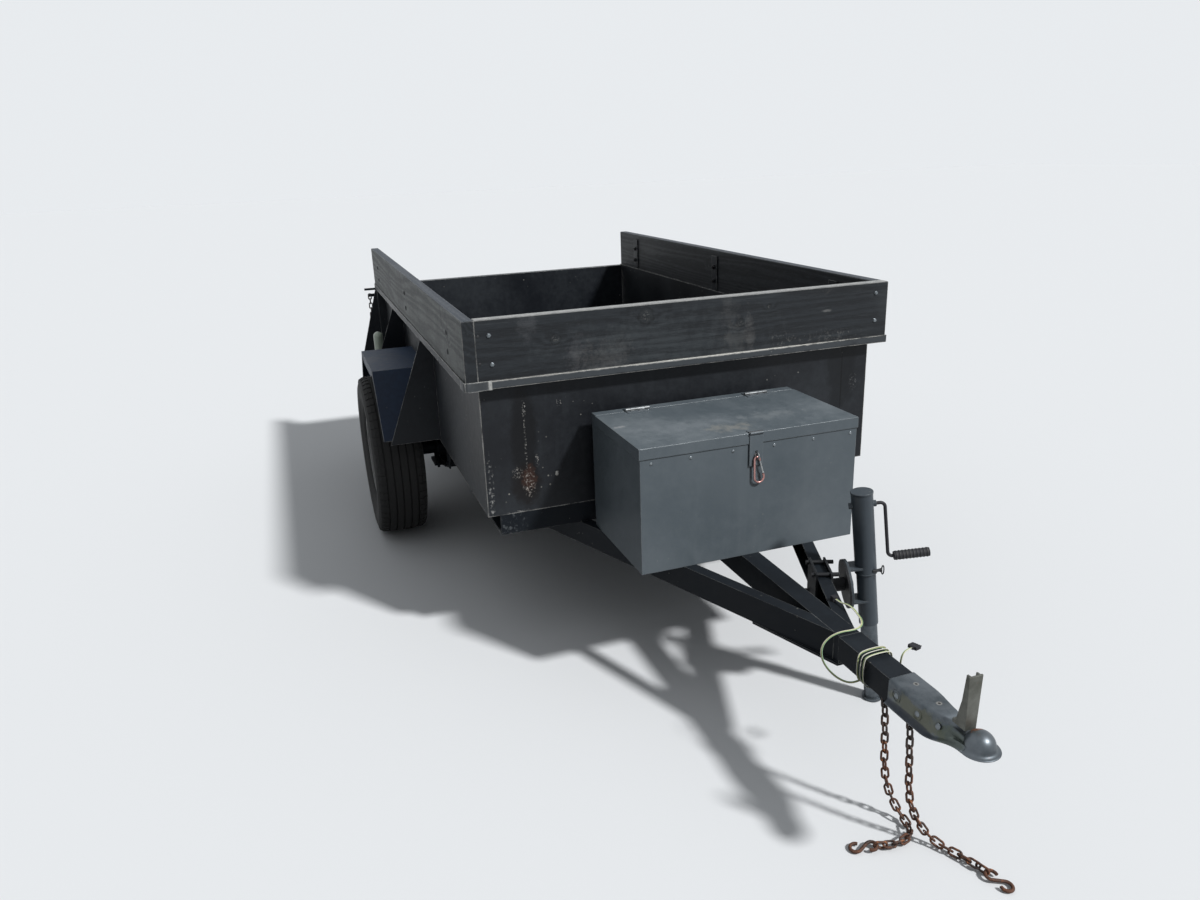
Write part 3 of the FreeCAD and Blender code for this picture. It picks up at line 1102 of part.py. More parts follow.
def build_chains():
    """Lug under the tube, two safety chains down to the ground, their hooks, and the gate's hanging chains."""
    hole_z = "(tongue_top - tube_side - lug_drop / 2)"
    low = "(tongue_top - tube_side - lug_drop)"
    lug_end = f"({LUG_START} + lug_long)"
    rear_hole, front_hole = f"({LUG_START} + 18)", f"({LUG_START} + lug_long - 18)"
    node("chain_lug", prism("ChainLug", "XZ", [
        (LUG_START, f"{low} + 10"), (f"{LUG_START} + 10", low), (f"{lug_end} - 10", low), (lug_end, f"{low} + 10"),
        (lug_end, "tongue_top - tube_side"), (LUG_START, "tongue_top - tube_side")], "lug_thick", (FRONT, 0, 0),
        rounds=[(rear_hole, hole_z, "link_wire + 2"), (front_hole, hole_z, "link_wire + 2")], symmetric=True))
    front = number(FRONT)
    # The first link's end bar lies in the lug's hole
    top = number(f"{hole_z} - 1 - link_hole / 2 - link_wire / 2 + link_pitch / 2")
    rear_x, front_x = number(rear_hole), number(front_hole)
    ground = 13.2
    first = [(rear_x, 0, top), (rear_x + 6, 3, 240), (rear_x + 9, 6, 150), (rear_x + 12, 11, 110),
             (rear_x + 16, 18, 79), (rear_x + 24, 26, 52), (rear_x + 36, 33, 31), (rear_x + 53, 37, 18),
             (rear_x + 73, 37, 14), (rear_x + 92, 29, ground), (rear_x + 106, 13, ground),
             (rear_x + 113, -9, ground), (rear_x + 113, -32, ground), (rear_x + 107, -56, ground),
             (rear_x + 98, -80, ground)]
    second = [(front_x, 0, top), (front_x + 5, 2, 240), (front_x + 8, 6, 150), (front_x + 11, 11, 112),
              (front_x + 16, 19, 82), (front_x + 23, 29, 57), (front_x + 33, 40, 37), (front_x + 46, 51, 23),
              (front_x + 63, 62, 15), (front_x + 84, 73, ground), (front_x + 108, 84, ground),
              (front_x + 132, 94, ground), (front_x + 157, 103, ground), (front_x + 182, 110, ground)]
    links = []
    hooks = []
    for name, route in (("first safety chain", first), ("second safety chain", second)):
        run, (middle, direction) = chain(name, [(front + x, y, z) for x, y, z in route], Vector(0, 1, 0))
        links += run
        hooks.append(ess_hook(middle, direction))
    node("safety_chains", shaped("SafetyChains", Part.makeCompound(links)))
    node("chain_hooks", shaped("ChainHooks", Part.makeCompound(hooks)))
    eye_x = number(f"{REAR} - eye_at")
    eye_y = number(CHAIN_HALF)
    eye_z = number("flange_top - rod_drop - chain_drop")
    hang = eye_z + number("chain_eye") + 0.3 - number("link_hole / 2 - link_pitch / 2")
    strands = []
    for sign in (-1, 1):
        route = [(eye_x, sign * eye_y, hang), (eye_x, sign * eye_y, hang - 200)]
        strands += chain("gate chain", route, Vector(0, 1, 0))[0]
    node("gate_chains", shaped("GateChains", Part.makeCompound(strands)))


def ess_hook(middle, direction):
    """An S hook of round wire through a chain's last link, sloping down to the ground."""
    radius, wire = 13.0, 4.0
    enter = number("link_hole / 2") - wire - 0.6
    near = Vector(enter + radius, 0, 0)
    far = near + Vector(2 * math.sqrt(2) * radius, 0, 0)

    def on(centre, angle):
        return centre + Vector(math.cos(math.radians(angle)), math.sin(math.radians(angle)), 0) * radius

    path = Part.Wire([Part.Arc(on(near, 60), on(near, 187), on(near, 315)).toShape(),
                      Part.LineSegment(on(near, 315), on(far, 135)).toShape(),
                      Part.Arc(on(far, 135), on(far, 8), on(far, -120)).toShape()])
    start = path.Edges[0]
    section = Part.Wire([Part.Circle(start.valueAt(start.FirstParameter), start.tangentAt(start.FirstParameter),
                                     wire).toShape()])
    hook = path.makePipeShell([section], True, False)
    slope = math.degrees(math.asin((middle.z - wire - 1.8) / (far.x + radius)))
    level = Vector(direction.x, direction.y, 0).normalize()
    hook.Placement = Placement(middle, Rotation(level, Vector(-level.y, level.x, 0), Vector(0, 0, 1), "XZY").multiply(
        Rotation(Vector(0, 1, 0), slope)))
    return hook


def wiring_route():
    """The cable's route: out of its clip, round the tongue tube, and out to the plug."""
    front = number(FRONT)
    top = number("tongue_top")
    # The first points are measured from where the diagonals meet, those round the tube from the lug
    route = [(-121, 62, top + 8), (-99, 62, top + 8), (-77, 65, top + 15), (-53, 66, top + 16), (-27, 62, top + 13),
             (5, 54, top + 12), (29, 34, top + 12), (35, 6, top + 12), (27, -24, top + 10),
             (21, -54, top - 2), (29, -80, top - 20), (49, -88, top - 46), (77, -72, top - 74), (101, -44, top - 88)]
    junction, lug = number("junction_reach"), number(LUG_START)
    route = [(junction + x, y, z) for x, y, z in route]
    side = number(TUBE_HALF) + 10
    low, high = top - number("tube_side") - 10, top + 10
    inset = 12
    step = 0
    # Three turns round the square tube, two points at each corner
    for turn in range(3):
        for y, z in ((-side + 2 * inset, low), (side - inset, low), (side, low + inset), (side, high - inset),
                     (side - inset, high), (-side + inset, high), (-side, high - inset), (-side, low + inset)):
            route.append((lug - 46 + 1.4 * step, y, z))
            step += 1
    route += [(lug + x, y, z) for x, y, z in ((-10, -22, low - 2), (-9, 8, low - 4), (-9, 40, low - 3),
                                              (-10, 60, low + 24), (-14, 64, low + 60), (-22, 82, low + 70),
                                              (-30, 104, low + 66))]
    return [(front + x, y, z) for x, y, z in route]


def build_wiring():
    """Clip on the diagonal, the cable, and its plug."""
    route = wiring_route()
    radius = number("cable_radius")
    clip = Part.makeBox(14, 16, number("cable_radius") * 2 + 8,
                        Vector(route[0][0] - 14, route[0][1] - 8, number("tongue_top")))
    node("wiring_clip", shaped("WiringClip", clip))
    node("wiring_cable", shaped("WiringCable", rod(route, radius)))
    end, before = Vector(*route[-1]), Vector(*route[-2])
    direction = (end - before).normalize()
    plug = Part.makeBox(34, 24, 9, Vector(0, -12, -4.5))
    plug.Placement = Placement(end, Rotation(Vector(1, 0, 0), direction))
    node("wiring_plug", shaped("WiringPlug", plug))


def write_parts():
    """Checks each object and sub-part, then writes each sub-part to its file."""
    DOC.recompute()
    for thing in DOC.Objects:
        assert not {"Invalid", "Error"} & set(thing.State), f"{thing.Name} failed: {thing.State}"
    os.makedirs("parts", exist_ok=True)
    for piece in NODES:
        shape = piece.Shape
        assert not shape.isNull() and shape.isValid() and shape.Solids, f"{piece.Label} has no sound shape"
        shape.exportStep(f"parts/{piece.Label}.step")
        box = shape.BoundBox
        print(f"{piece.Label}: {len(shape.Solids)} solids, {shape.Volume / 1e3:.1f} cm3, x {box.XMin:.0f} {box.XMax:.0f}"
              f" y {box.YMin:.0f} {box.YMax:.0f} z {box.ZMin:.1f} {box.ZMax:.1f}")


fill_sheet()
build_tub()
build_boards()
build_frame()
build_tongue()
build_coupler()
build_fenders()
build_axle()
for wheel_side in ("left", "right"):
    build_wheel(wheel_side)
build_tailgate()
build_toolbox()
build_jack()
build_chains()
build_wiring()
write_parts()
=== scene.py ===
import logging
import math
import random
from dataclasses import dataclass, field
from enum import Enum
from typing import Any, Iterable, Sequence

import bmesh
import bpy
import numpy as np
from mathutils import Matrix, Vector


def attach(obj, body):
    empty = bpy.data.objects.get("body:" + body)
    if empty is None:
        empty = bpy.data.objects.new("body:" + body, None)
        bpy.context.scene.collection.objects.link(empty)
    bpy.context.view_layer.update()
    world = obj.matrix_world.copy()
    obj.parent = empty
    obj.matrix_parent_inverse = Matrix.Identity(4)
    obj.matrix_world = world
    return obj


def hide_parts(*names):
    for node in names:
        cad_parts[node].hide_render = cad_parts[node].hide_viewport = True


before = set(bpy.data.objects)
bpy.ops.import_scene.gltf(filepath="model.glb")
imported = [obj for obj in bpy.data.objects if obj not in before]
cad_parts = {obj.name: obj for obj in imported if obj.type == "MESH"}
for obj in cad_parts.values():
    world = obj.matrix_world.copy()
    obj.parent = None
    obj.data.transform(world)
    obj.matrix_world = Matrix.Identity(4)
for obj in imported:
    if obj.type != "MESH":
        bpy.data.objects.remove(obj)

LOG = logging.getLogger("trailer")
Pair = tuple[float, float]
Point = tuple[float, float, float]
Colour = tuple[float, float, float]
Socket = bpy.types.NodeSocket

# Metres in the trailer's frame: X forward, Y to its left, Z up. These are places along X: the outer faces of
# the front board, of the front panel and of its lip, and the axle.
FRONT = 0.5335
PANEL = 0.4985
LIP = 0.5375
AXLE = -0.7565


class Body(Enum):
    """The moving bodies that pieces ride on."""

    TRAILER = "trailer"
    WHEEL_LEFT = "wheel_left"
    WHEEL_RIGHT = "wheel_right"
    GATE = "gate"
    LID = "lid"
    JACK = "jack"
    LEG = "leg"


class Head(Enum):
    """Kinds of small fastener, each with its outline of (radius, height) in millimetres and its sides."""

    HEX_BOLT = (((0, 0), (11, 0), (11, 1.6), (9.2, 1.6), (9.2, 6.2), (7.6, 7.4), (0, 7.4)), 6)
    CARRIAGE_BOLT = (((0, 0), (9.5, 0), (9.5, 0.8), (8, 2.4), (5, 3.8), (0, 4.4)), 20)
    RIVET = (((0, 0), (6.2, 0), (6, 0.8), (4.5, 2.1), (2, 2.7), (1.5, 2.0), (0, 2.0)), 16)
    SCREW = (((0, 0), (4.6, 0), (4.4, 0.9), (2.4, 1.7), (0, 1.8)), 14)
    SMALL_SCREW = (((0, 0), (3.3, 0), (3.1, 0.6), (1.6, 1.1), (0, 1.1)), 12)
    NUT = (((0, 0), (9.6, 0), (9.6, 8), (8.4, 9), (5, 9), (5, 12), (0, 12)), 6)
    LUG_NUT = (((0, 0), (10.5, 0), (10.5, 9), (9.6, 13), (6.5, 17), (0, 18)), 6)


def tone(code: str) -> Colour:
    """A linear colour from a six-figure code.

    Args:
        code: The colour as it is seen, such as "#1C1E20".

    Returns:
        Its three linear shares.
    """
    shares = [int(code[i:i + 2], 16) / 255 for i in (1, 3, 5)]
    return tuple(s / 12.92 if s <= 0.04045 else ((s + 0.055) / 1.055) ** 2.4 for s in shares)


class Graph:
    """The node tree of one finish, with short calls for the nodes that it is made of."""

    def __init__(self, name: str) -> None:
        """Starts a tree with a shader and an output.

        Args:
            name: The finish's name.
        """
        self.material = bpy.data.materials.new(name)
        self.material.use_nodes = True
        self.tree = self.material.node_tree
        self.tree.nodes.clear()
        self.shader = self.tree.nodes.new("ShaderNodeBsdfPrincipled")
        output = self.tree.nodes.new("ShaderNodeOutputMaterial")
        self.tree.links.new(self.shader.outputs["BSDF"], output.inputs["Surface"])
        self.here = self.node("ShaderNodeTexCoord").outputs["Object"]

    def node(self, kind: str, inputs: dict[Any, Any] | None = None, **settings: Any) -> bpy.types.Node:
        """Adds a node.

        Args:
            kind: Blender's name for the node.
            inputs: Values or sockets for its inputs, by name or number.
            **settings: Its other properties.

        Returns:
            The node.
        """
        made = self.tree.nodes.new(kind)
        for key, value in settings.items():
            setattr(made, key, value)
        for key, value in (inputs or {}).items():
            if isinstance(value, Socket):
                self.tree.links.new(value, made.inputs[key])
            else:
                made.inputs[key].default_value = value
        return made

    def sum(self, operation: str, first: Any, second: Any = 0.0, clamp: bool = False) -> Socket:
        """The result of a sum of two values."""
        made = self.node("ShaderNodeMath", {0: first, 1: second}, operation=operation, use_clamp=clamp)
        return made.outputs[0]

    def times(self, first: Any, second: Any, clamp: bool = False) -> Socket:
        """The product of two values."""
        return self.sum("MULTIPLY", first, second, clamp)

    def plus(self, first: Any, second: Any) -> Socket:
        """Two values together."""
        return self.sum("ADD", first, second)

    def stretched(self, scale: Point) -> Socket:
        """Object coordinates with each axis scaled."""
        return self.node("ShaderNodeMapping", {"Vector": self.here, "Scale": scale}).outputs["Vector"]

    def noise(self, scale: float, detail: float = 4.0, rough: float = 0.55, vector: Any = None) -> Socket:
        """Adds cloudy noise.

        Args:
            scale: How many clouds there are to a metre.
            detail: How many finer layers it has.
            rough: How strong the finer layers are.
            vector: The coordinates that it lies on, the object's own if none are given.

        Returns:
            Its strength, from 0 to 1.
        """
        vector = self.here if vector is None else vector
        inputs = {"Vector": vector, "Scale": scale, "Detail": detail, "Roughness": rough}
        return self.node("ShaderNodeTexNoise", inputs).outputs["Fac"]

    def cells(self, scale: float) -> Socket:
        """Distance to the nearest of scattered points."""
        return self.node("ShaderNodeTexVoronoi", {"Vector": self.here, "Scale": scale}).outputs["Distance"]

    def band(self, value: Any, low: float, high: float, start: float = 0.0, end: float = 1.0) -> Socket:
        """A smooth step from start to end while the value goes from low to high."""
        return self.node("ShaderNodeMapRange", {0: value, 1: low, 2: high, 3: start, 4: end},
                         interpolation_type="SMOOTHSTEP").outputs[0]

    def blend(self, share: Any, first: Any, second: Any) -> Socket:
        """A colour between two.

        Args:
            share: How much of the second it has, a value or a socket.
            first: The first colour, a tuple or a socket.
            second: The second colour.

        Returns:
            The colour's socket.
        """
        made = self.node("ShaderNodeMix", data_type="RGBA")
        for socket, value in zip((made.inputs[0], made.inputs[6], made.inputs[7]), (share, first, second)):
            if isinstance(value, Socket):
                self.tree.links.new(value, socket)
            else:
                socket.default_value = (*value, 1.0) if isinstance(value, tuple) else value
        return made.outputs[2]

    def axis(self, name: str) -> Socket:
        """One coordinate of the place."""
        return self.node("ShaderNodeSeparateXYZ", {0: self.here}).outputs[name]

    def slope(self, name: str) -> Socket:
        """How much the surface faces one axis."""
        normal = self.node("ShaderNodeNewGeometry").outputs["Normal"]
        return self.node("ShaderNodeSeparateXYZ", {0: normal}).outputs[name]

    def spot(self, centre: Point, radius: float, ragged: float = 0.6, scale: float = 40.0,
             stretch: Point = (1, 1, 1), full: float = 0.55) -> Socket:
        """A ragged patch round a point.

        Args:
            centre: Its middle.
            radius: How far it reaches.
            ragged: How much noise breaks its edge.
            scale: The noise's scale.
            stretch: How much each axis counts, below 1 where the patch is long.
            full: The share of the radius where it has its full strength.

        Returns:
            Its strength, 1 in the middle.
        """
        away = self.node("ShaderNodeVectorMath", {0: self.here, 1: centre}, operation="SUBTRACT").outputs[0]
        scaled = self.node("ShaderNodeVectorMath", {0: away, 1: stretch}, operation="MULTIPLY").outputs[0]
        distance = self.node("ShaderNodeVectorMath", {0: scaled}, operation="LENGTH").outputs["Value"]
        broken = self.times(self.sum("SUBTRACT", self.noise(scale, 5, 0.7), 0.5), ragged * radius * 3)
        return self.band(self.plus(distance, broken), radius, radius * full)

    def worn(self, radius: float, low: float = 0.02, high: float = 0.22) -> Socket:
        """How much a place lies on an edge.

        Args:
            radius: How far from the edge it counts, in metres.
            low: The turn of the normal where it begins.
            high: The turn where it is full.

        Returns:
            Its strength, 1 on a corner and 0 on a flat.
        """
        soft = self.node("ShaderNodeBevel", {"Radius": radius}, samples=6).outputs[0]
        plain = self.node("ShaderNodeNewGeometry").outputs["Normal"]
        same = self.node("ShaderNodeVectorMath", {0: soft, 1: plain}, operation="DOT_PRODUCT")
        return self.band(self.sum("SUBTRACT", 1.0, same.outputs["Value"]), low, high)

    def bump(self, height: Any, distance: float, strength: float = 1.0, edge: float = 0.0) -> None:
        """Gives the shader a bumpy normal.

        Args:
            height: The bumps' height.
            distance: How far full height stands out, in metres.
            strength: How strong the bumps are.
            edge: The radius that edges seem to be rounded by.
        """
        inputs = {"Height": height, "Distance": distance, "Strength": strength}
        if edge:
            inputs["Normal"] = self.node("ShaderNodeBevel", {"Radius": edge}, samples=4).outputs[0]
        self.set("Normal", self.node("ShaderNodeBump", inputs).outputs[0])

    def set(self, name: str, value: Any) -> None:
        """Sets or links an input of the shader.

        Args:
            name: The input's name.
            value: A number, a colour or a socket.
        """
        socket = self.shader.inputs[name]
        if isinstance(value, Socket):
            self.tree.links.new(value, socket)
        elif isinstance(value, tuple) and len(value) == 3:
            socket.default_value = (*value, 1.0)
        else:
            socket.default_value = value


class Finish:
    """A finish that makes its material once."""

    name: str

    def paint(self, graph: Graph) -> None:
        """Builds the material's nodes."""
        raise NotImplementedError

    def material(self) -> bpy.types.Material:
        """Makes the material at its first use.

        Returns:
            The material.
        """
        found = bpy.data.materials.get(self.name)
        if found is None:
            graph = Graph(self.name)
            self.paint(graph)
            found = graph.material
        return found


@dataclass(frozen=True)
class StainOrLightPatch:
    """A patch on a surface: a stain such as rust, scuff or run, or a painted patch of light or shade. A
    raised one also stands out.
    """

    centre: Point
    radius: float
    colour: Colour
    amount: float = 0.8
    stretch: Point = (1, 1, 1)
    scale: float = 40.0
    grit: float = 0.0
    ragged: float = 0.6
    full: float = 0.55
    raised: bool = False

    def mask(self, graph: Graph) -> Socket:
        """Draws the patch, broken into grit of a scale where it has one.

        Args:
            graph: The nodes of the surface's finish.

        Returns:
            The patch's strength.
        """
        made = graph.spot(self.centre, self.radius, self.ragged, self.scale, self.stretch, self.full)
        if self.grit:
            specks = graph.band(graph.noise(self.grit, 6, 0.8), 0.53, 0.6)
            made = graph.times(made, specks)
        return graph.times(made, self.amount)


def marks(*rows: tuple[Any, ...]) -> tuple[StainOrLightPatch, ...]:
    """Makes patches of stain or of painted light or shade from a table.

    Args:
        *rows: For each patch its X, Y, Z, radius, colour code and amount, then its other values in order.

    Returns:
        The patches.
    """
    return tuple(StainOrLightPatch((x, y, z), radius, tone(code), *rest) for x, y, z, radius, code, *rest in rows)


@dataclass(frozen=True)
class Enamel(Finish):
    """Old sheet-metal enamel with dust, flecks, runs and rubbed edges, and the patches of stain or of painted
    light or shade that its table lists.
    """

    name: str
    colour: Colour
    dust: Colour
    metal: Colour = tone("#8C8C88")
    rough: float = 0.42
    dusting: float = 0.35
    rub: float = 0.8
    flecks: float = 0.5
    gloss: float = 0.22
    edge: float = 0.0022
    fold: float = 0.0016
    # Patches of stain, and on some finishes painted patches of light or shade.
    stains_and_light: tuple[StainOrLightPatch, ...] = ()

    def paint(self, graph: Graph) -> None:
        """Builds the enamel's nodes.

        Args:
            graph: The material's empty tree.
        """
        cloud = graph.noise(2.3, 6, 0.6)
        fine = graph.noise(38, 5, 0.65)
        runs = graph.noise(9, 5, 0.6, graph.stretched((1, 1, 0.12)))
        veil = graph.times(graph.band(graph.plus(cloud, graph.times(fine, 0.35)), 0.5, 0.95), self.dusting)
        up = graph.band(graph.slope("Z"), 0.3, 1.0, 0.55, 1.25)
        colour = graph.blend(graph.times(veil, up, True), self.colour, self.dust)
        streak = graph.times(graph.band(runs, 0.55, 0.8), 0.35 * self.dusting)
        colour = graph.blend(streak, colour, self.dust)
        chips = graph.band(graph.plus(graph.cells(46), graph.times(fine, 0.22)), 0.26, 0.2)
        sparse = graph.band(graph.noise(7, 3, 0.6), 0.54, 0.66)
        chips = graph.times(graph.times(chips, sparse), self.flecks, True)
        colour = graph.blend(chips, colour, tone("#A3A29B"))
        raised: list[Socket] = []
        # Each patch is laid over the colour: a stain, or painted light or shade.
        for stain in self.stains_and_light:
            mask = stain.mask(graph)
            if stain.raised:
                raised.append(mask)
            colour = graph.blend(mask, colour, stain.colour)
        if self.rub:
            scuffed = graph.band(graph.noise(16, 5, 0.7), 0.3, 0.6)
            bare = graph.times(graph.times(graph.worn(self.edge), scuffed), self.rub, True)
            colour = graph.blend(bare, colour, self.metal)
            graph.set("Metallic", graph.times(bare, 0.6))
        graph.set("Base Color", colour)
        rough = graph.band(graph.plus(graph.times(cloud, 0.6), graph.times(fine, 0.4)),
                           0.25, 0.75, self.rough - 0.07, self.rough + 0.16)
        graph.set("Roughness", rough)
        graph.set("Specular IOR Level", self.gloss)
        height = graph.plus(graph.times(graph.noise(220, 3, 0.5), 0.4), fine)
        for mask in raised:
            height = graph.plus(height, graph.times(mask, 2.0))
        graph.bump(height, 0.0006, 0.35, self.fold)


@dataclass(frozen=True)
class Knot:
    """A knot in a board: its middle on the face and its radius."""

    centre: Point
    radius: float

    def mark(self, graph: Graph, colour: Socket, pale: Colour) -> Socket:
        """Draws the knot over the grain: a disc with pale cracks and a broken dark rim.

        Args:
            graph: The board's nodes.
            colour: The board's colour so far.
            pale: The colour of worn wood.

        Returns:
            The colour with the knot in it.
        """
        disc = graph.spot(self.centre, self.radius, 0.2, 55, (1, 1, 1), 0.8)
        colour = graph.blend(graph.times(disc, 0.4), colour, tone("#232628"))
        cracks = graph.band(graph.noise(170, 4, 0.75), 0.5, 0.58)
        cracks = graph.times(cracks, graph.spot(self.centre, self.radius * 0.9, 0.5, 70, (1, 1, 1), 0.2))
        colour = graph.blend(graph.times(cracks, 0.6), colour, pale)
        wider = graph.spot(self.centre, self.radius * 1.2, 0.25, 55, (1, 1, 1), 0.9)
        rim = graph.sum("SUBTRACT", wider, disc, True)
        broken = graph.band(graph.noise(60, 4, 0.7), 0.36, 0.6, 0.15, 0.8)
        return graph.blend(graph.times(rim, broken), colour, tone("#101214"))


@dataclass(frozen=True)
class StainedBoard(Finish):
    """A dark stained plank with grain along X or Y, knots, worn patches and a weathered outer face; its top
    faces take lighter top colours, partly worn wood and partly a painted sheen.
    """

    name: str
    lengthwise: str
    knots: tuple[Knot, ...]
    patches: tuple[StainOrLightPatch, ...] = ()
    weathered: bool = False
    # The two top colours are partly worn wood and partly a painted sheen of sky light on the faces that look
    # up.
    top: tuple[Colour, Colour] = (tone("#23282E"), tone("#3D454F"))
    dark: Colour = tone("#15171A")
    mid: Colour = tone("#2B2F33")
    haze: Colour = tone("#454A4D")
    pale: Colour = tone("#6B6C6B")

    def paint(self, graph: Graph) -> None:
        """Builds the plank's nodes.

        Args:
            graph: The material's empty tree.
        """
        flow = (0.45, 7.0, 7.0) if self.lengthwise == "X" else (7.0, 0.45, 7.0)
        along = graph.stretched(flow)
        sway = graph.noise(1.1, 3, 0.5, along)
        phase = graph.plus(graph.times(graph.axis("Z"), 34.0), graph.times(sway, 7.5))
        stretch = (0.6, 1, 1) if self.lengthwise == "X" else (1, 0.6, 1)
        for knot in self.knots:
            near = graph.spot(knot.centre, knot.radius * 2.6, 0.3, 14, stretch, 0.0)
            phase = graph.plus(phase, graph.times(near, 1.2))
        rings = graph.band(graph.sum("SINE", graph.times(phase, 6.2)), -0.7, 1.0)
        fibre = graph.noise(30, 6, 0.7, graph.stretched((flow[0] * 2.2, flow[1] * 2.2, flow[2] * 2.2)))
        streaks = graph.noise(9, 5, 0.65, graph.stretched((flow[0] * 3, flow[1] * 1.2, flow[2] * 1.2)))
        grain = graph.plus(graph.times(rings, 0.18), graph.times(fibre, 0.92))
        colour = graph.blend(graph.band(grain, 0.25, 0.85), self.dark, self.mid)
        cloud = graph.noise(3.2, 5, 0.6)
        colour = graph.blend(graph.band(cloud, 0.5, 0.75, 0.0, 0.35), colour, self.haze)
        colour = graph.blend(graph.band(streaks, 0.55, 0.72, 0.0, 0.4), colour, self.haze)
        for patch in self.patches:
            share = graph.times(patch.mask(graph), graph.band(grain, 0.2, 0.8, 0.25, 1.0), True)
            colour = graph.blend(share, colour, patch.colour)
        # Faces that look up blend towards the top colours: partly worn wood, partly a painted sheen of sky
        # light.
        above = graph.band(graph.slope("Z"), 0.5, 0.9, 0.0, 0.8)
        colour = graph.blend(above, colour, graph.blend(graph.band(fibre, 0.35, 0.65), *self.top))
        if self.weathered:
            outer = graph.band(graph.sum("ABSOLUTE", graph.slope("Y")), 0.6, 0.8)
            side = graph.band(graph.sum("ABSOLUTE", graph.axis("Y")), 0.72, 0.728)
            outer = graph.times(outer, side)
            silver = graph.blend(graph.band(grain, 0.2, 0.9), tone("#22262A"), tone("#5D635F"))
            silver = graph.blend(graph.band(cloud, 0.42, 0.62), silver, tone("#2F3432"))
            scrapes = graph.noise(10, 6, 0.75, graph.stretched((2.2, 1, 0.5)))
            silver = graph.blend(graph.band(scrapes, 0.54, 0.64, 0.0, 0.85), silver, tone("#151819"))
            colour = graph.blend(graph.times(outer, 0.85), colour, silver)
        for knot in self.knots:
            colour = knot.mark(graph, colour, self.pale)
        scuffed = graph.band(graph.noise(11, 5, 0.7), 0.3, 0.6)
        rubbed = graph.times(graph.worn(0.005, 0.02, 0.25), scuffed)
        colour = graph.blend(graph.times(rubbed, 0.85), colour, tone("#BDBCB8"))
        graph.set("Base Color", colour)
        graph.set("Roughness", graph.band(grain, 0.2, 0.9, 0.62, 0.46))
        graph.set("Specular IOR Level", 0.25)
        graph.bump(grain, 0.0012, 0.5, 0.002)


@dataclass(frozen=True)
class Plated(Finish):
    """Metal that shows: zinc, worn steel or alloy, with clouds and rust specks."""

    name: str
    colour: Colour
    stain: Colour
    rough: float = 0.38
    rust: float = 0.2
    metallic: float = 0.85
    # Patches of stain, and on the zinc painted patches of shade.
    stains_and_light: tuple[StainOrLightPatch, ...] = ()

    def paint(self, graph: Graph) -> None:
        """Builds the metal's nodes.

        Args:
            graph: The material's empty tree.
        """
        cloud = graph.noise(14, 6, 0.65)
        fine = graph.noise(120, 4, 0.6)
        colour = graph.blend(graph.band(cloud, 0.35, 0.72), self.colour, self.stain)
        specks = graph.times(graph.band(graph.noise(70, 4, 0.7), 0.6, 0.72), graph.band(cloud, 0.4, 0.6))
        specks = graph.times(specks, self.rust, True)
        colour = graph.blend(specks, colour, tone("#6B3E22"))
        total = specks
        for stain in self.stains_and_light:
            mask = stain.mask(graph)
            total = graph.sum("MAXIMUM", total, mask)
            colour = graph.blend(mask, colour, stain.colour)
        graph.set("Base Color", colour)
        graph.set("Metallic", graph.band(total, 0.0, 1.0, self.metallic, 0.1))
        graph.set("Roughness", graph.band(graph.plus(cloud, graph.times(fine, 0.3)), 0.4, 0.95,
                                          self.rough - 0.08, self.rough + 0.2))
        graph.bump(graph.plus(fine, graph.times(total, 0.7)), 0.0004, 0.35, 0.0012)


@dataclass(frozen=True)
class Rusty(Finish):
    """Scaly brown rust with pale bloom and dark pits, greyer where it hangs high."""

    name: str = "rusty_iron"
    deep: Colour = tone("#2A1D18")
    middle: Colour = tone("#5B3B2C")
    bloom: Colour = tone("#A5683F")
    pale: Colour = tone("#A08A7C")
    high: Colour = tone("#3A3734")

    def paint(self, graph: Graph) -> None:
        """Builds the rust's nodes.

        Args:
            graph: The material's empty tree.
        """
        patches = graph.noise(34, 5, 0.65)
        scale = graph.noise(260, 5, 0.7)
        colour = graph.blend(graph.band(patches, 0.36, 0.62), self.deep, self.middle)
        colour = graph.blend(graph.band(graph.noise(90, 4, 0.7), 0.52, 0.7), colour, self.bloom)
        lift = graph.plus(graph.axis("Z"), graph.times(patches, 0.1))
        colour = graph.blend(graph.band(lift, 0.24, 0.36, 0.0, 0.8), colour, self.high)
        colour = graph.blend(graph.band(scale, 0.56, 0.74, 0.0, 0.6), colour, self.pale)
        graph.set("Base Color", colour)
        graph.set("Metallic", 0.15)
        graph.set("Roughness", graph.band(patches, 0.3, 0.7, 0.5, 0.8))
        graph.bump(graph.plus(scale, patches), 0.0009, 0.6)


@dataclass(frozen=True)
class Rubber(Finish):
    """Tyre rubber with cloudy brown-grey dust, and ribs and slanted sipes in its bumps."""

    name: str = "tyre_rubber"
    colour: Colour = tone("#17181A")
    dust: Colour = tone("#45443F")
    ribs: float = 754.0
    sipes: float = 1130.97
    slant: float = 60.0

    def paint(self, graph: Graph) -> None:
        """Builds the rubber's nodes; the map's u runs round the tyre and v over its section.

        Args:
            graph: The material's empty tree.
        """
        uv = graph.node("ShaderNodeUVMap", uv_map="round").outputs[0]
        split = graph.node("ShaderNodeSeparateXYZ", {0: uv})
        cloud = graph.noise(11, 6, 0.65)
        fine = graph.noise(150, 4, 0.6)
        veil = graph.band(graph.plus(cloud, graph.times(fine, 0.3)), 0.5, 0.9, 0.02, 0.36)
        colour = graph.blend(veil, self.colour, self.dust)
        radial = graph.sum("ABSOLUTE", graph.sum("SINE", graph.times(split.outputs["X"], self.ribs)))
        sipes = graph.sum("SINE", graph.plus(graph.times(split.outputs["X"], self.sipes),
                                             graph.times(split.outputs["Y"], self.slant)))
        graph.set("Base Color", colour)
        graph.set("Roughness", graph.band(cloud, 0.3, 0.7, 0.62, 0.86))
        graph.set("Specular IOR Level", 0.35)
        height = graph.plus(graph.times(graph.band(sipes, 0.75, 0.95), -1.2), graph.times(radial, 0.15))
        graph.bump(graph.plus(height, graph.times(fine, 0.4)), 0.0012, 0.6)


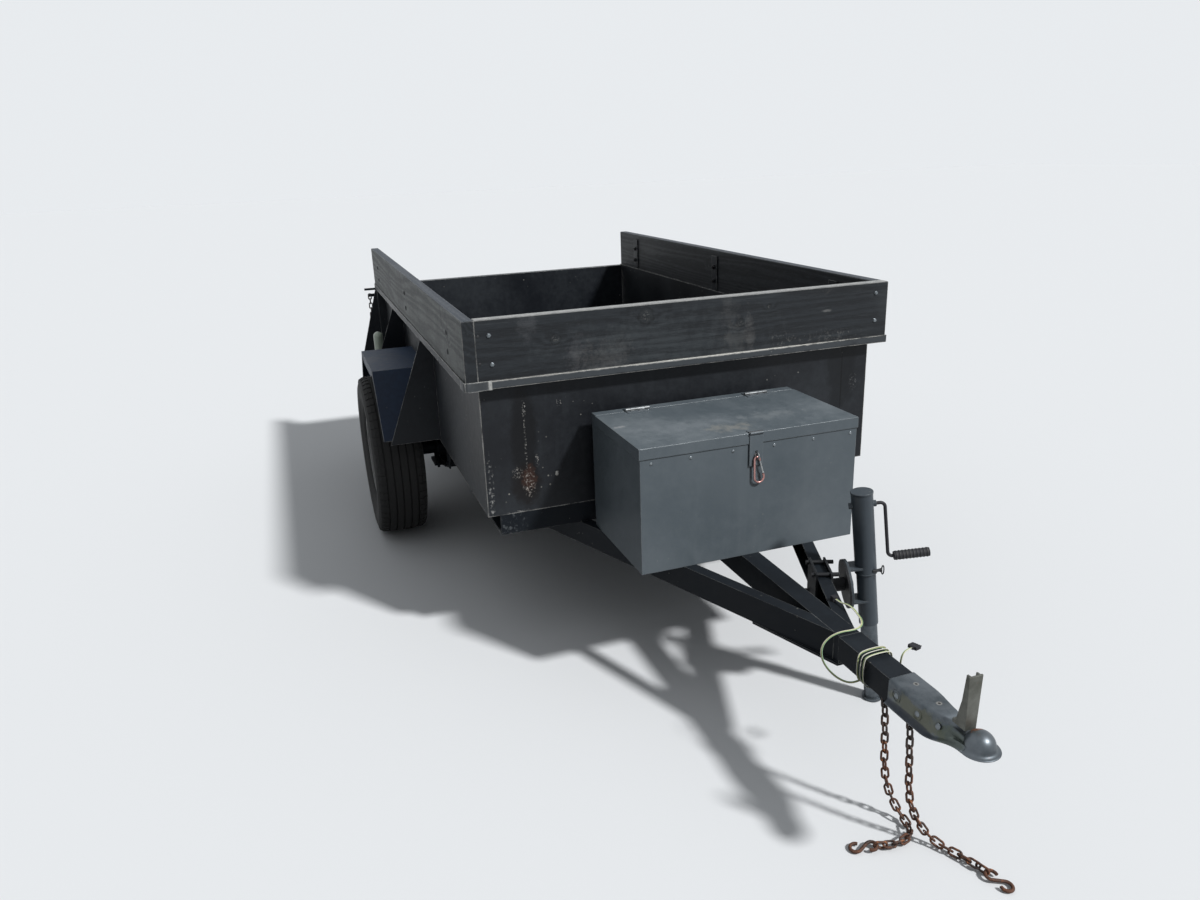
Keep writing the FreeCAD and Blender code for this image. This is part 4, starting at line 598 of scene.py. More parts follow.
@dataclass(frozen=True)
class Plastic(Finish):
    """Moulded plastic or rubber: even colour, dust and a fine grain."""

    name: str
    colour: Colour
    dust: Colour = tone("#8A8780")
    rough: float = 0.5
    dusting: float = 0.25
    coat: float = 0.0
    ribs: float = 0.0

    def paint(self, graph: Graph) -> None:
        """Builds the plastic's nodes.

        Args:
            graph: The material's empty tree.
        """
        cloud = graph.noise(24, 6, 0.65)
        fine = graph.noise(300, 3, 0.6)
        colour = graph.blend(graph.band(cloud, 0.45, 0.8, 0.0, self.dusting), self.colour, self.dust)
        graph.set("Base Color", colour)
        graph.set("Roughness", graph.band(cloud, 0.3, 0.8, self.rough - 0.06, self.rough + 0.2))
        graph.set("Coat Weight", self.coat)
        height = graph.times(fine, 0.4)
        if self.ribs:
            waves = graph.sum("SINE", graph.times(graph.axis("Z"), 6.283 / self.ribs))
            height = graph.plus(height, waves)
        graph.bump(height, 0.0005, 0.5, 0.001)


DUST = tone("#5A6065")
TUB = Enamel("tub_enamel", tone("#171A1F"), DUST, tone("#A7A8A6"), rough=0.4, dusting=0.34, flecks=0.6,
             rub=1.0, edge=0.0035)
STRIP = Enamel("corner_strip_enamel", tone("#33373A"), tone("#7E8184"), tone("#BEBEBA"), rough=0.42,
               dusting=0.7, rub=1.0, flecks=1.0, edge=0.006)
SHEET_MARKS_AND_PAINTED_LIGHT = marks(
    # The first two rows are pale lines along the lip's top edge: partly worn paint and partly a painted
    # highlight.
    (LIP, 0.10, 0.9352, 0.0062, "#D2D0CA", 0.95, (1, 0.012, 1), 46, 0, 0.45),
    (LIP, -0.40, 0.9352, 0.0048, "#A9A8A4", 0.75, (1, 0.012, 1), 46, 0, 0.7),
    (PANEL, -0.556, 0.73, 0.05, "#0B0B0D", 0.75, (1, 1, 0.2), 14, 0, 0.35, 0.55, True),
    (PANEL, -0.556, 0.58, 0.062, "#131010", 0.8, (1, 1, 0.7), 18, 0, 0.35, 0.55, True),
    (PANEL, -0.549, 0.60, 0.028, "#3F2A22", 0.6, (1, 1, 0.55), 60),
    (PANEL, -0.549, 0.585, 0.026, "#B5AFA8", 0.8, (1, 1.2, 0.45), 90, 150, 0.8),
    (PANEL, -0.585, 0.622, 0.020, "#A8A5A0", 0.85, (1, 1, 0.9), 90, 170),
    (PANEL, -0.520, 0.655, 0.012, "#A9A7A2", 0.9, (1, 1.6, 0.5), 120, 160),
    (PANEL, -0.5525, 0.822, 0.006, "#C9C8C4", 0.95, (1, 1, 0.2), 160, 120),
    (PANEL, -0.554, 0.72, 0.004, "#A5A4A0", 0.9, (1, 1, 0.025), 200, 150),
    (PANEL, -0.439, 0.834, 0.010, "#9A9A97", 0.85, (1, 1, 0.7), 120, 140),
    (PANEL, -0.457, 0.602, 0.007, "#A9A9A5", 0.9, (1, 1, 0.7), 150),
    (PANEL, -0.672, 0.575, 0.010, "#9FA09E", 0.85, (1, 1, 0.08), 150, 90),
    (PANEL, -0.590, 0.492, 0.005, "#A7A7A4", 0.8, (1, 0.07, 1), 150, 90),
    (PANEL, 0.588, 0.78, 0.0035, "#040404", 1.0, (1, 1, 0.02), 150, 0, 0.3),
    (PANEL, 0.584, 0.885, 0.010, "#77777A", 0.9, (1, 1, 0.6), 150, 160),
    (PANEL, 0.635, 0.776, 0.018, "#8B8C8E", 0.7, (1, 1, 0.5), 150, 120),
    # A mid-grey band along the lip's face: painted light on the lip's sunlit face.
    (LIP, 0.0, 0.9235, 0.0115, "#54595D", 0.55, (1, 0.0001, 1), 30, 0, 0.3),
    # A dark patch on the panel's right part: painted shade.
    (PANEL, 0.585, 0.82, 0.075, "#0D0F12", 0.65, (1, 1, 0.45), 12, 0, 0.4))
# Its wide rubbed edges are partly worn bare metal and partly a painted highlight along the lip.
SHEET = Enamel("tub_sheet_enamel", tone("#1B1D21"), DUST, tone("#B4B3AE"), rough=0.4, dusting=0.36,
               flecks=0.8, rub=1.0, edge=0.006, stains_and_light=SHEET_MARKS_AND_PAINTED_LIGHT)
TUB_SKIRTS = Enamel("fender_enamel", tone("#172438"), tone("#3F526C"), tone("#9A9B99"), rough=0.45,
                    dusting=0.38, flecks=0.25, rub=0.9, edge=0.004)
FRAME_MARKS_AND_PAINTED_LIGHT = marks(
    # A pale speckled patch on the front cross member: painted sunlight where it is lit.
    (0.47, -0.62, 0.45, 0.06, "#6C7174", 0.6, (0.6, 0.8, 1), 50, 60, 0.8, 0.2),
    (0.47, -0.60, 0.423, 0.011, "#A5A7A6", 0.8, (0.4, 0.12, 1), 60, 0, 0.8, 0.3))
FRAME = Enamel("frame_enamel", tone("#12161B"), tone("#3E454C"), tone("#8F918F"), rough=0.5, dusting=0.22,
               rub=0.7, flecks=0.35, gloss=0.12, edge=0.003, stains_and_light=FRAME_MARKS_AND_PAINTED_LIGHT)
MOUNT = Enamel("mount_enamel", tone("#141518"), tone("#3E4144"), tone("#8E9092"), rough=0.5, dusting=0.3,
               rub=0.5, flecks=0.4, edge=0.002)
LID_MARKS = marks(
    (0.862, -0.035, 0.8, 0.050, "#96938B", 0.42, (1, 0.55, 1), 34, 0, 1.1, 0.0),
    (0.790, -0.13, 0.8, 0.050, "#7F858A", 0.42, (1, 0.2, 1), 26, 0, 1.0, 0.0),
    (0.803, 0.13, 0.8, 0.050, "#858A8D", 0.42, (1, 0.4, 1), 26, 0, 1.0, 0.0, True),
    (0.721, -0.323, 0.8, 0.014, "#9C9E9F", 0.6, (1, 0.6, 1), 60, 0, 0.8, 0.2, True))
# The box's rubbed edges are partly worn bare metal and partly a painted highlight along the lid's rounded
# edges.
BOX = Enamel("box_enamel", tone("#535C62"), tone("#8B9195"), tone("#A3A8AB"), rough=0.34, dusting=0.33,
             rub=0.65, flecks=0.12, gloss=0.4, edge=0.003, fold=0.0028, stains_and_light=LID_MARKS)
JACK = Enamel("jack_enamel", tone("#3A4249"), tone("#666C70"), rough=0.36, dusting=0.3, rub=0.4, flecks=0.2,
              gloss=0.35)
GREY_RIM = Enamel("rim_enamel", tone("#A9ABAB"), tone("#6A6155"), rough=0.4, dusting=0.6, rub=0.2, flecks=0.1)
BOARD_MARKS = marks(
    (FRONT, -0.385, 0.985, 0.055, "#66676A", 0.30, (1, 1.5, 0.6), 46, 0, 1.2, 0.0),
    (FRONT, -0.310, 0.960, 0.090, "#6B6A69", 0.36, (1, 0.8, 1.2), 44, 0, 1.2, 0.0),
    (FRONT, -0.255, 0.985, 0.060, "#696968", 0.32, (1, 1.1, 0.9), 46, 0, 1.2, 0.0),
    (FRONT, 0.207, 0.990, 0.060, "#6C6B6A", 0.38, (1, 2.4, 0.6), 40, 0, 1.0, 0.0),
    (FRONT, 0.130, 1.060, 0.060, "#5E5F5F", 0.34, (1, 1.5, 0.6), 34, 0, 1.0, 0.0),
    (FRONT, 0.160, 0.975, 0.070, "#5A5A58", 0.42, (1, 0.9, 0.9), 34, 0, 1.0, 0.0),
    (FRONT, 0.330, 0.962, 0.042, "#868684", 0.6, (1, 0.7, 1.2), 70, 60, 1.0, 0.0),
    (FRONT, 0.500, 0.952, 0.062, "#7E7E7C", 0.55, (1, 0.4, 2.0), 70, 80, 1.0, 0.0),
    (FRONT, 0.480, 1.105, 0.040, "#7A7974", 0.6, (1, 0.6, 1.5), 50, 50, 0.9, 0.0),
    (FRONT, -0.540, 1.095, 0.050, "#5A5C5F", 0.4, (1, 1.2, 0.7), 36, 0, 1.0, 0.0),
    (FRONT, 0.495, 1.040, 0.012, "#8C8D8C", 0.5, (1, 0.5, 2.0), 90, 0, 0.5, 0.3),
    (FRONT, -0.1, 1.00, 0.18, "#454A4D", 0.55, (1, 0.4, 1.6), 20, 0, 0.9, 0.0))
BOARD_ACROSS = StainedBoard("front_board_wood", "Y", (
    Knot((FRONT, -0.155, 1.083), 0.025), Knot((FRONT, -0.449, 1.040), 0.016),
    Knot((FRONT, 0.174, 1.030), 0.013), Knot((FRONT, 0.276, 1.073), 0.008)), BOARD_MARKS,
    # The front board's near-white top colour is partly worn wood and partly a painted sheen along its top
    # face.
    top=(tone("#7E8082"), tone("#C6C6C3")))
BOARD_ALONG = StainedBoard("side_board_wood", "X", (
    Knot((0.30, -0.731, 1.02), 0.012), Knot((-0.75, 0.693, 1.04), 0.013), Knot((-1.2, -0.731, 1.05), 0.011)),
    weathered=True)
COUPLER_MARKS_AND_PAINTED_SHADE = marks(
    (1.869, 0.002, 0.4365, 0.0115, "#7A4522", 0.85, (1, 0.6, 1), 120),
    (1.73, -0.036, 0.392, 0.045, "#6F7058", 0.6, (0.45, 1, 1.6), 30),
    # A dark navy band along the lower flared edge: painted shade in the gap under the channel's side.
    (1.72, -0.040, 0.372, 0.012, "#1B2634", 0.85, (0.1, 1, 1), 30, 0, 0.2),
    (1.84, -0.030, 0.392, 0.03, "#55604F", 0.5, (0.6, 1, 1), 30),
    # Two painted holes, each a pale rim round a black core; the black core is painted shade for the hole's
    # dark inside.
    (1.679, 0.006, 0.4246, 0.0078, "#A19E98", 0.6, (1, 1, 1), 40, 0, 0.2),
    (1.679, 0.006, 0.4246, 0.0042, "#050505", 1.0, (1, 1, 1), 40, 0, 0.05),
    (1.757, 0.004, 0.4246, 0.0082, "#A19E98", 0.6, (1, 1, 1), 40, 0, 0.2),
    (1.757, 0.004, 0.4246, 0.0042, "#050505", 1.0, (1, 1, 1), 40, 0, 0.05))
ZINC = Plated("dull_zinc", tone("#666C71"), tone("#464D52"), 0.4, 0.35, 0.8, COUPLER_MARKS_AND_PAINTED_SHADE)
HINGE_MARKS = marks(
    (0.603, 0, 0.8, 0.0195, "#555D63", 1.0, (1, 0, 1), 40, 0, 0.06, 0.92),
    (0.550, 0, 0.8, 0.0195, "#3B4247", 1.0, (1, 0, 1), 40, 0, 0.06, 0.92))
HINGE_STEEL = Plated("hinge_steel", tone("#8C8F90"), tone("#5C5F61"), 0.44, 0.3, 0.7, HINGE_MARKS)
LATCH_STEEL = Plated("latch_steel", tone("#72736D"), tone("#55564F"), 0.42, 0.4, 0.6)
BRIGHT = Plated("bright_steel", tone("#B9BBBB"), tone("#8B8D8C"), 0.28, 0.2, 0.9)
RIVET_STEEL = Plated("rivet_steel", tone("#858B8F"), tone("#5F6569"), 0.3, 0.0, 0.8)
DARK_STEEL = Plated("dark_steel", tone("#3A3B3C"), tone("#26272A"), 0.5, 0.5, 0.6)
ROSE = Plated("rose_alloy", tone("#B98C86"), tone("#C9C4C0"), 0.3, 0.0, 0.85)
RUST = Rusty()
TYRE = Rubber()
BLACK = Plastic("black_plastic", tone("#1B1C1E"), dusting=0.3)
GRIP = Plastic("grip_rubber", tone("#1D1E20"), dusting=0.35, rough=0.62)
PALE_LENS = Plastic("marker_lens", tone("#B9C6B2"), tone("#7D8176"), 0.28, 0.35, 0.4)
RED_LENS = Plastic("tail_lens", tone("#8E1B17"), tone("#5A3A35"), 0.2, 0.2, 0.6, 0.008)
WHITE_WIRE = Plastic("white_wire", tone("#D8D8CC"), tone("#9C9A88"), 0.45)
YELLOW_WIRE = Plastic("yellow_wire", tone("#C9C67C"), tone("#8F8C60"), 0.45)
GREEN_WIRE = Plastic("green_wire", tone("#8FB08C"), tone("#6E7A66"), 0.45)


class Form:
    """A mesh in the making: shapes are added one by one, in metres."""

    def __init__(self) -> None:
        """Starts empty."""
        self.verts: list[Vector] = []
        self.faces: list[list[int]] = []
        self.stamps: list[list[Pair]] = []

    def add(self, verts: Iterable[Any], faces: Iterable[Sequence[int]], place: Matrix | None = None,
            stamps: Sequence[list[Pair]] | None = None) -> "Form":
        """Adds points and faces.

        Args:
            verts: The points.
            faces: Numbers of the points round each face.
            place: Where they go.
            stamps: The map's coordinates at each face's corners.

        Returns:
            The form.
        """
        start = len(self.verts)
        place = place or Matrix.Identity(4)
        self.verts += [place @ Vector(v) for v in verts]
        faces = [list(f) for f in faces]
        self.faces += [[start + i for i in f] for f in faces]
        self.stamps += list(stamps) if stamps else [[(0.0, 0.0)] * len(f) for f in faces]
        return self

    def lathe(self, outline: Sequence[Pair], sides: int, place: Matrix | None = None,
              ring: bool = False) -> "Form":
        """Revolves an outline of (radius, height) about Z.

        Args:
            outline: The outline, from bottom to top, or a closed one for a ring.
            sides: How many sides the shape has.
            place: Where it goes.
            ring: True where the outline closes on itself.

        Returns:
            The form.
        """
        verts = []
        for radius, height in outline:
            for step in range(sides):
                angle = math.tau * step / sides
                verts.append((radius * math.cos(angle), radius * math.sin(angle), height))
        faces, stamps = [], []
        count = len(outline)
        for row in range(count if ring else count - 1):
            for step in range(sides):
                after, above = (step + 1) % sides, (row + 1) % count
                low, high = row * sides, above * sides
                faces.append((low + step, low + after, high + after, high + step))
                u, v = step / sides, row / count
                next_u, next_v = u + 1 / sides, v + 1 / count
                stamps.append([(u, v), (next_u, v), (next_u, next_v), (u, next_v)])
        return self.add(verts, faces, place, stamps)

    def block(self, low: Point, high: Point, place: Matrix | None = None) -> "Form":
        """Adds a box between two corners.

        Args:
            low: Its lowest corner.
            high: Its highest corner.
            place: Where it goes.

        Returns:
            The form.
        """
        verts = [(x, y, z) for x in (low[0], high[0]) for y in (low[1], high[1]) for z in (low[2], high[2])]
        faces = [(0, 1, 3, 2), (4, 6, 7, 5), (0, 4, 5, 1), (2, 3, 7, 6), (0, 2, 6, 4), (1, 5, 7, 3)]
        return self.add(verts, faces, place)

    def sweep(self, path: Sequence[Any], radius: float, sides: int = 8, wide: Any = None, shift: float = 0.0,
              closed: bool = False) -> "Form":
        """Carries a circle along a path.

        Args:
            path: The points of its middle.
            radius: The circle's radius.
            sides: How many sides the circle has.
            wide: The direction across the path at its start; the sideways shift follows it.
            shift: How far the circle runs to that side of the path.
            closed: True where the path ends where it starts.

        Returns:
            The form.
        """
        points = [Vector(p) for p in path]
        count = len(points)
        across = Vector(wide) if wide is not None else None
        verts = []
        for index, point in enumerate(points):
            before = points[index - 1] if index or closed else point
            after = points[(index + 1) % count] if index < count - 1 or closed else point
            along = (after - before).normalized()
            if across is None:
                across = along.orthogonal()
            across = (across - along * across.dot(along)).normalized()
            other = along.cross(across)
            for step in range(sides):
                angle = math.tau * step / sides
                aside = across * (shift + radius * math.cos(angle))
                verts.append(point + aside + other * radius * math.sin(angle))
        faces = []
        for row in range(count if closed else count - 1):
            for step in range(sides):
                after, above = (step + 1) % sides, (row + 1) % count
                low, high = row * sides, above * sides
                faces.append((low + step, low + after, high + after, high + step))
        if not closed:
            faces.append(tuple(reversed(range(sides))))
            faces.append(tuple((count - 1) * sides + step for step in range(sides)))
        return self.add(verts, faces)

    def mesh(self, name: str, smooth: float = 35.0) -> bpy.types.Mesh:
        """The merged mesh with its faces outward.

        Args:
            name: Its name.
            smooth: Edges that turn by more than this angle stay sharp.

        Returns:
            The mesh.
        """
        mesh = bpy.data.meshes.new(name)
        mesh.from_pydata([tuple(v) for v in self.verts], [], self.faces)
        layer = mesh.uv_layers.new(name="round")
        flat = [uv for face in self.stamps for uv in face]
        for loop, uv in enumerate(flat):
            layer.data[loop].uv = uv
        work = bmesh.new()
        work.from_mesh(mesh)
        bmesh.ops.remove_doubles(work, verts=work.verts, dist=1e-6)
        bmesh.ops.recalc_face_normals(work, faces=work.faces)
        work.to_mesh(mesh)
        work.free()
        mesh.shade_smooth()
        mesh.set_sharp_from_angle(angle=math.radians(smooth))
        return mesh

    def piece(self, name: str, finish: Finish, body: Body, slot: str, replaces: Sequence[str] = (),
              smooth: float = 35.0, bevel: float = 0.0) -> bpy.types.Object:
        """Finishes the form as a piece of the trailer.

        Args:
            name: The piece's name.
            finish: Its finish.
            body: What it rides on.
            slot: The record's material slot; it is passed on but not used.
            replaces: Nodes that it stands for.
            smooth: Edges that turn by more than this angle stay sharp.
            bevel: How far its sharp edges are rounded.

        Returns:
            The piece's object.
        """
        made = bpy.data.objects.new(name, self.mesh(name, smooth))
        bpy.context.scene.collection.objects.link(made)
        made.data.materials.append(finish.material())
        if bevel:
            rounding = made.modifiers.new("rounding", "BEVEL")
            rounding.width = bevel
            rounding.segments = 2
            rounding.limit_method = "ANGLE"
        return seat(made, body, slot, replaces)


def seat(made: bpy.types.Object, body: Body, slot: str, replaces: Sequence[str] = ()) -> bpy.types.Object:
    """Sets a piece on its body and logs it.

    Args:
        made: The piece.
        body: What it rides on.
        slot: The record's material slot; it is not used.
        replaces: Nodes that it stands for.

    Returns:
        The piece.
    """
    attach(made, body.value)
    if replaces:
        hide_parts(*replaces)
    LOG.info("%s rides on %s with %d faces", made.name, body.value, len(getattr(made.data, "polygons", ())))
    return made


def facing(at: Any, outward: Any, spin: float = 0.0) -> Matrix:
    """A place with its Z along a direction.

    Args:
        at: The place.
        outward: The direction.
        spin: A turn about it, in degrees.

    Returns:
        The matrix.
    """
    turn = Vector(outward).to_track_quat("Z", "Y").to_matrix().to_4x4()
    return Matrix.Translation(Vector(at)) @ turn @ Matrix.Rotation(math.radians(spin), 4, "Z")


class Repeat:
    """A Geometry Nodes tree that sets copies of one shape at given places."""

    def __init__(self) -> None:
        """Builds the tree with its named inputs."""
        self.tree = bpy.data.node_groups.new("repeat", "GeometryNodeTree")
        sockets = (("Places", "NodeSocketGeometry"), ("Shape", "NodeSocketObject"),
                   ("Finish", "NodeSocketMaterial"), ("Scale", "NodeSocketFloat"))
        self.keys = {name: self.tree.interface.new_socket(name, in_out="INPUT", socket_type=kind).identifier
                     for name, kind in sockets}
        self.tree.interface.new_socket("Copies", in_out="OUTPUT", socket_type="NodeSocketGeometry")
        add = self.tree.nodes.new
        link = self.tree.links.new
        start, end = add("NodeGroupInput"), add("NodeGroupOutput")
        shape, turn = add("GeometryNodeObjectInfo"), add("GeometryNodeInputNamedAttribute")
        euler = add("FunctionNodeEulerToRotation")
        turn.data_type = "FLOAT_VECTOR"
        turn.inputs["Name"].default_value = "turn"
        copies, real = add("GeometryNodeInstanceOnPoints"), add("GeometryNodeRealizeInstances")
        paint = add("GeometryNodeSetMaterial")
        link(start.outputs["Places"], copies.inputs["Points"])
        link(start.outputs["Shape"], shape.inputs["Object"])
        link(shape.outputs["Geometry"], copies.inputs["Instance"])
        link(turn.outputs["Attribute"], euler.inputs["Euler"])
        link(euler.outputs["Rotation"], copies.inputs["Rotation"])
        link(start.outputs["Scale"], copies.inputs["Scale"])
        link(copies.outputs["Instances"], real.inputs["Geometry"])
        link(real.outputs["Geometry"], paint.inputs["Geometry"])
        link(start.outputs["Finish"], paint.inputs["Material"])
        link(paint.outputs["Geometry"], end.inputs["Copies"])

    def piece(self, name: str, shape: Form, places: Sequence[Matrix], finish: Finish, body: Body, slot: str,
              replaces: Sequence[str] = (), scale: float = 1.0, smooth: float = 35.0) -> bpy.types.Object:
        """A piece of many copies of a shape.

        Args:
            name: The piece's name.
            shape: The shape that repeats, about its own origin.
            places: Where each copy goes.
            finish: The copies' finish.
            body: What they ride on.
            slot: The record's material slot; it is passed on but not used.
            replaces: Nodes that the piece stands for.
            scale: The copies' size.
            smooth: Edges that turn by more than this angle stay sharp.

        Returns:
            The piece's object.
        """
        item = bpy.data.objects.new(f"{name}_shape", shape.mesh(f"{name}_shape", smooth))
        points = bpy.data.meshes.new(name)
        points.from_pydata([tuple(p.translation) for p in places], [], [])
        turns = points.attributes.new("turn", "FLOAT_VECTOR", "POINT")
        for index, place in enumerate(places):
            turns.data[index].vector = place.to_euler("XYZ")
        made = bpy.data.objects.new(name, points)
        for thing in (item, made):
            bpy.context.scene.collection.objects.link(thing)
        modifier = made.modifiers.new("copies", "NODES")
        modifier.node_group = self.tree
        for key, value in (("Shape", item), ("Finish", finish.material()), ("Scale", scale)):
            modifier[self.keys[key]] = value
        bpy.context.view_layer.update()
        evaluated = made.evaluated_get(bpy.context.evaluated_depsgraph_get())
        mesh = bpy.data.meshes.new_from_object(evaluated)
        made.modifiers.clear()
        made.data = mesh
        mesh.name = name
        bpy.data.objects.remove(item)
        return seat(made, body, slot, replaces)


def head_form(head: Head) -> Form:
    """The shape of a small fastener, standing on its own origin."""
    outline, sides = head.value
    return Form().lathe([(r / 1000, h / 1000) for r, h in outline], sides)


@dataclass
class Assembly:
    """A group of pieces with some that repeat a shape."""

    repeat: Repeat

    def heads(self, name: str, head: Head, places: Sequence[Matrix], finish: Finish,
              body: Body = Body.TRAILER, slot: str = "bare_steel", scale: float = 1.0) -> None:
        """Sets one fastener at each place, as one piece."""
        self.repeat.piece(name, head_form(head), places, finish, body, slot, scale=scale)


@dataclass
class View:
    """The camera where the photograph was taken from."""

    place: Point = (3.0566, -1.1895, 1.5707)
    right: Point = (0.33642, 0.94105, -0.03526)
    down: Point = (0.28996, -0.13914, -0.94687)
    ahead: Point = (-0.89596, 0.30832, -0.31967)
    lens: float = 26.607

    def make(self) -> None:
        """Makes the camera."""
        data = bpy.data.cameras.new("camera")
        data.lens = self.lens
        data.sensor_width = 36.0
        made = bpy.data.objects.new("camera", data)
        bpy.context.scene.collection.objects.link(made)
        turn = Matrix((self.right, [-v for v in self.down], [-v for v in self.ahead])).transposed()
        made.matrix_world = Matrix.Translation(self.place) @ turn.to_4x4()
        bpy.context.scene.camera = made


@dataclass
class Wiring:
    """Flat three-wire cable from its clip, round the tongue tube, to its plug."""

    junction: float = FRONT + 0.873
    lug: float = FRONT + 1.034
    top: float = 0.421
    tube: float = 0.0635
    wire: float = 0.00105
    spacing: float = 0.00195
    loops: int = 3

    def route(self) -> list[Point]:
        """Lays out the cable as the solid has it.

        Returns:
            Its control points, from the clip to the plug.
        """
        top = self.top
        rear = ((-121, 62, 8), (-99, 62, 8), (-77, 65, 15), (-53, 66, 16), (-27, 62, 13), (5, 54, 12),
                (29, 34, 12), (35, 6, 12), (27, -24, 10), (21, -54, -2), (29, -80, -20), (49, -88, -46),
                (77, -72, -74), (101, -44, -88))
        points = [(self.junction + x / 1000, y / 1000, top + z / 1000) for x, y, z in rear]
        side = self.tube / 2 + 0.010
        low, high = top - self.tube - 0.010, top + 0.010
        loop = ((-side + 0.024, low), (side - 0.012, low), (side, low + 0.012), (side, high - 0.012),
                (side - 0.012, high), (-side + 0.012, high), (-side, high - 0.012), (-side, low + 0.012))
        for step, (y, z) in enumerate(loop * self.loops):
            points.append((self.lug - 0.046 + 0.0014 * step, y, z))
        front = ((-10, -22, -2), (-9, 8, -4), (-9, 40, -3), (-10, 60, 24), (-14, 64, 60), (-22, 82, 70),
                 (-30, 104, 66))
        return points + [(self.lug + x / 1000, y / 1000, low + z / 1000) for x, y, z in front]

    def line(self, points: Sequence[Point]) -> list[Vector]:
        """Points along the smooth line through a route.

        Args:
            points: The route's control points.

        Returns:
            The line's points.
        """
        curve = bpy.data.curves.new("cable_line", "CURVE")
        curve.dimensions = "3D"
        curve.resolution_u = 5
        spline = curve.splines.new("NURBS")
        spline.points.add(len(points) - 1)
        for knot, point in zip(spline.points, points):
            knot.co = (*point, 1.0)
        spline.order_u = 3
        spline.use_endpoint_u = True
        holder = bpy.data.objects.new("cable_line", curve)
        bpy.context.scene.collection.objects.link(holder)
        bpy.context.view_layer.update()
        mesh = bpy.data.meshes.new_from_object(holder.evaluated_get(bpy.context.evaluated_depsgraph_get()))
        line = [v.co.copy() for v in mesh.vertices]
        bpy.data.objects.remove(holder)
        bpy.data.meshes.remove(mesh)
        return line

    def make(self) -> None:
        """Makes the cable and its plug."""
        route = self.route()
        line = self.line(route)
        form = Form()
        counts = []
        for shift in (-self.spacing, 0.0, self.spacing):
            form.sweep(line, self.wire, 8, (0, 1, 0), shift)
            counts.append(len(form.faces))
        cable = form.piece("wiring_flat_cable", YELLOW_WIRE, Body.TRAILER, "cable_jacket", ("wiring_cable",),
                           smooth=60)
        for finish in (WHITE_WIRE, GREEN_WIRE):
            cable.data.materials.append(finish.material())
        for face in cable.data.polygons:
            strand = sum(face.index >= count for count in counts)
            face.material_index = (1, 0, 2)[min(strand, 2)]
        plug = self.plug(line)
        length = sum((b - a).length for a, b in zip(line, line[1:]))
        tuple(route[0])
        [tuple(p) for p in line]

    def plug(self, line: Sequence[Vector]) -> bpy.types.Object:
        """Makes the moulded flat plug, with its ribs and pins.

        Args:
            line: The cable's middle line.

        Returns:
            The plug's object.
        """
        way = (line[-1] - line[-2]).normalized()
        at = line[-1]
        across = Vector((0, 0, 1)).cross(way).normalized()
        place = Matrix((way, across, way.cross(across))).transposed().to_4x4()
        place.translation = at
        form = Form()
        form.block((0.004, -0.0115, -0.0042), (0.026, 0.0115, 0.0042), place)
        form.block((0.0, -0.006, -0.0035), (0.006, 0.006, 0.0035), place)
        for step in range(4):
            x = 0.007 + 0.0045 * step
            form.block((x, -0.0119, -0.0044), (x + 0.002, 0.0119, 0.0044), place)
        for side in (-0.0075, -0.0025, 0.0025, 0.0075):
            form.lathe([(0, 0), (0.0016, 0), (0.0016, 0.007), (0.0012, 0.0078), (0, 0.008)], 10,
                       place @ Matrix.Translation((0.0258, side, 0)) @ Matrix.Rotation(math.pi / 2, 4, "Y"))
        return form.piece("wiring_flat_plug", BLACK, Body.TRAILER, "black_plastic", ("wiring_plug",),
                          bevel=0.0005)


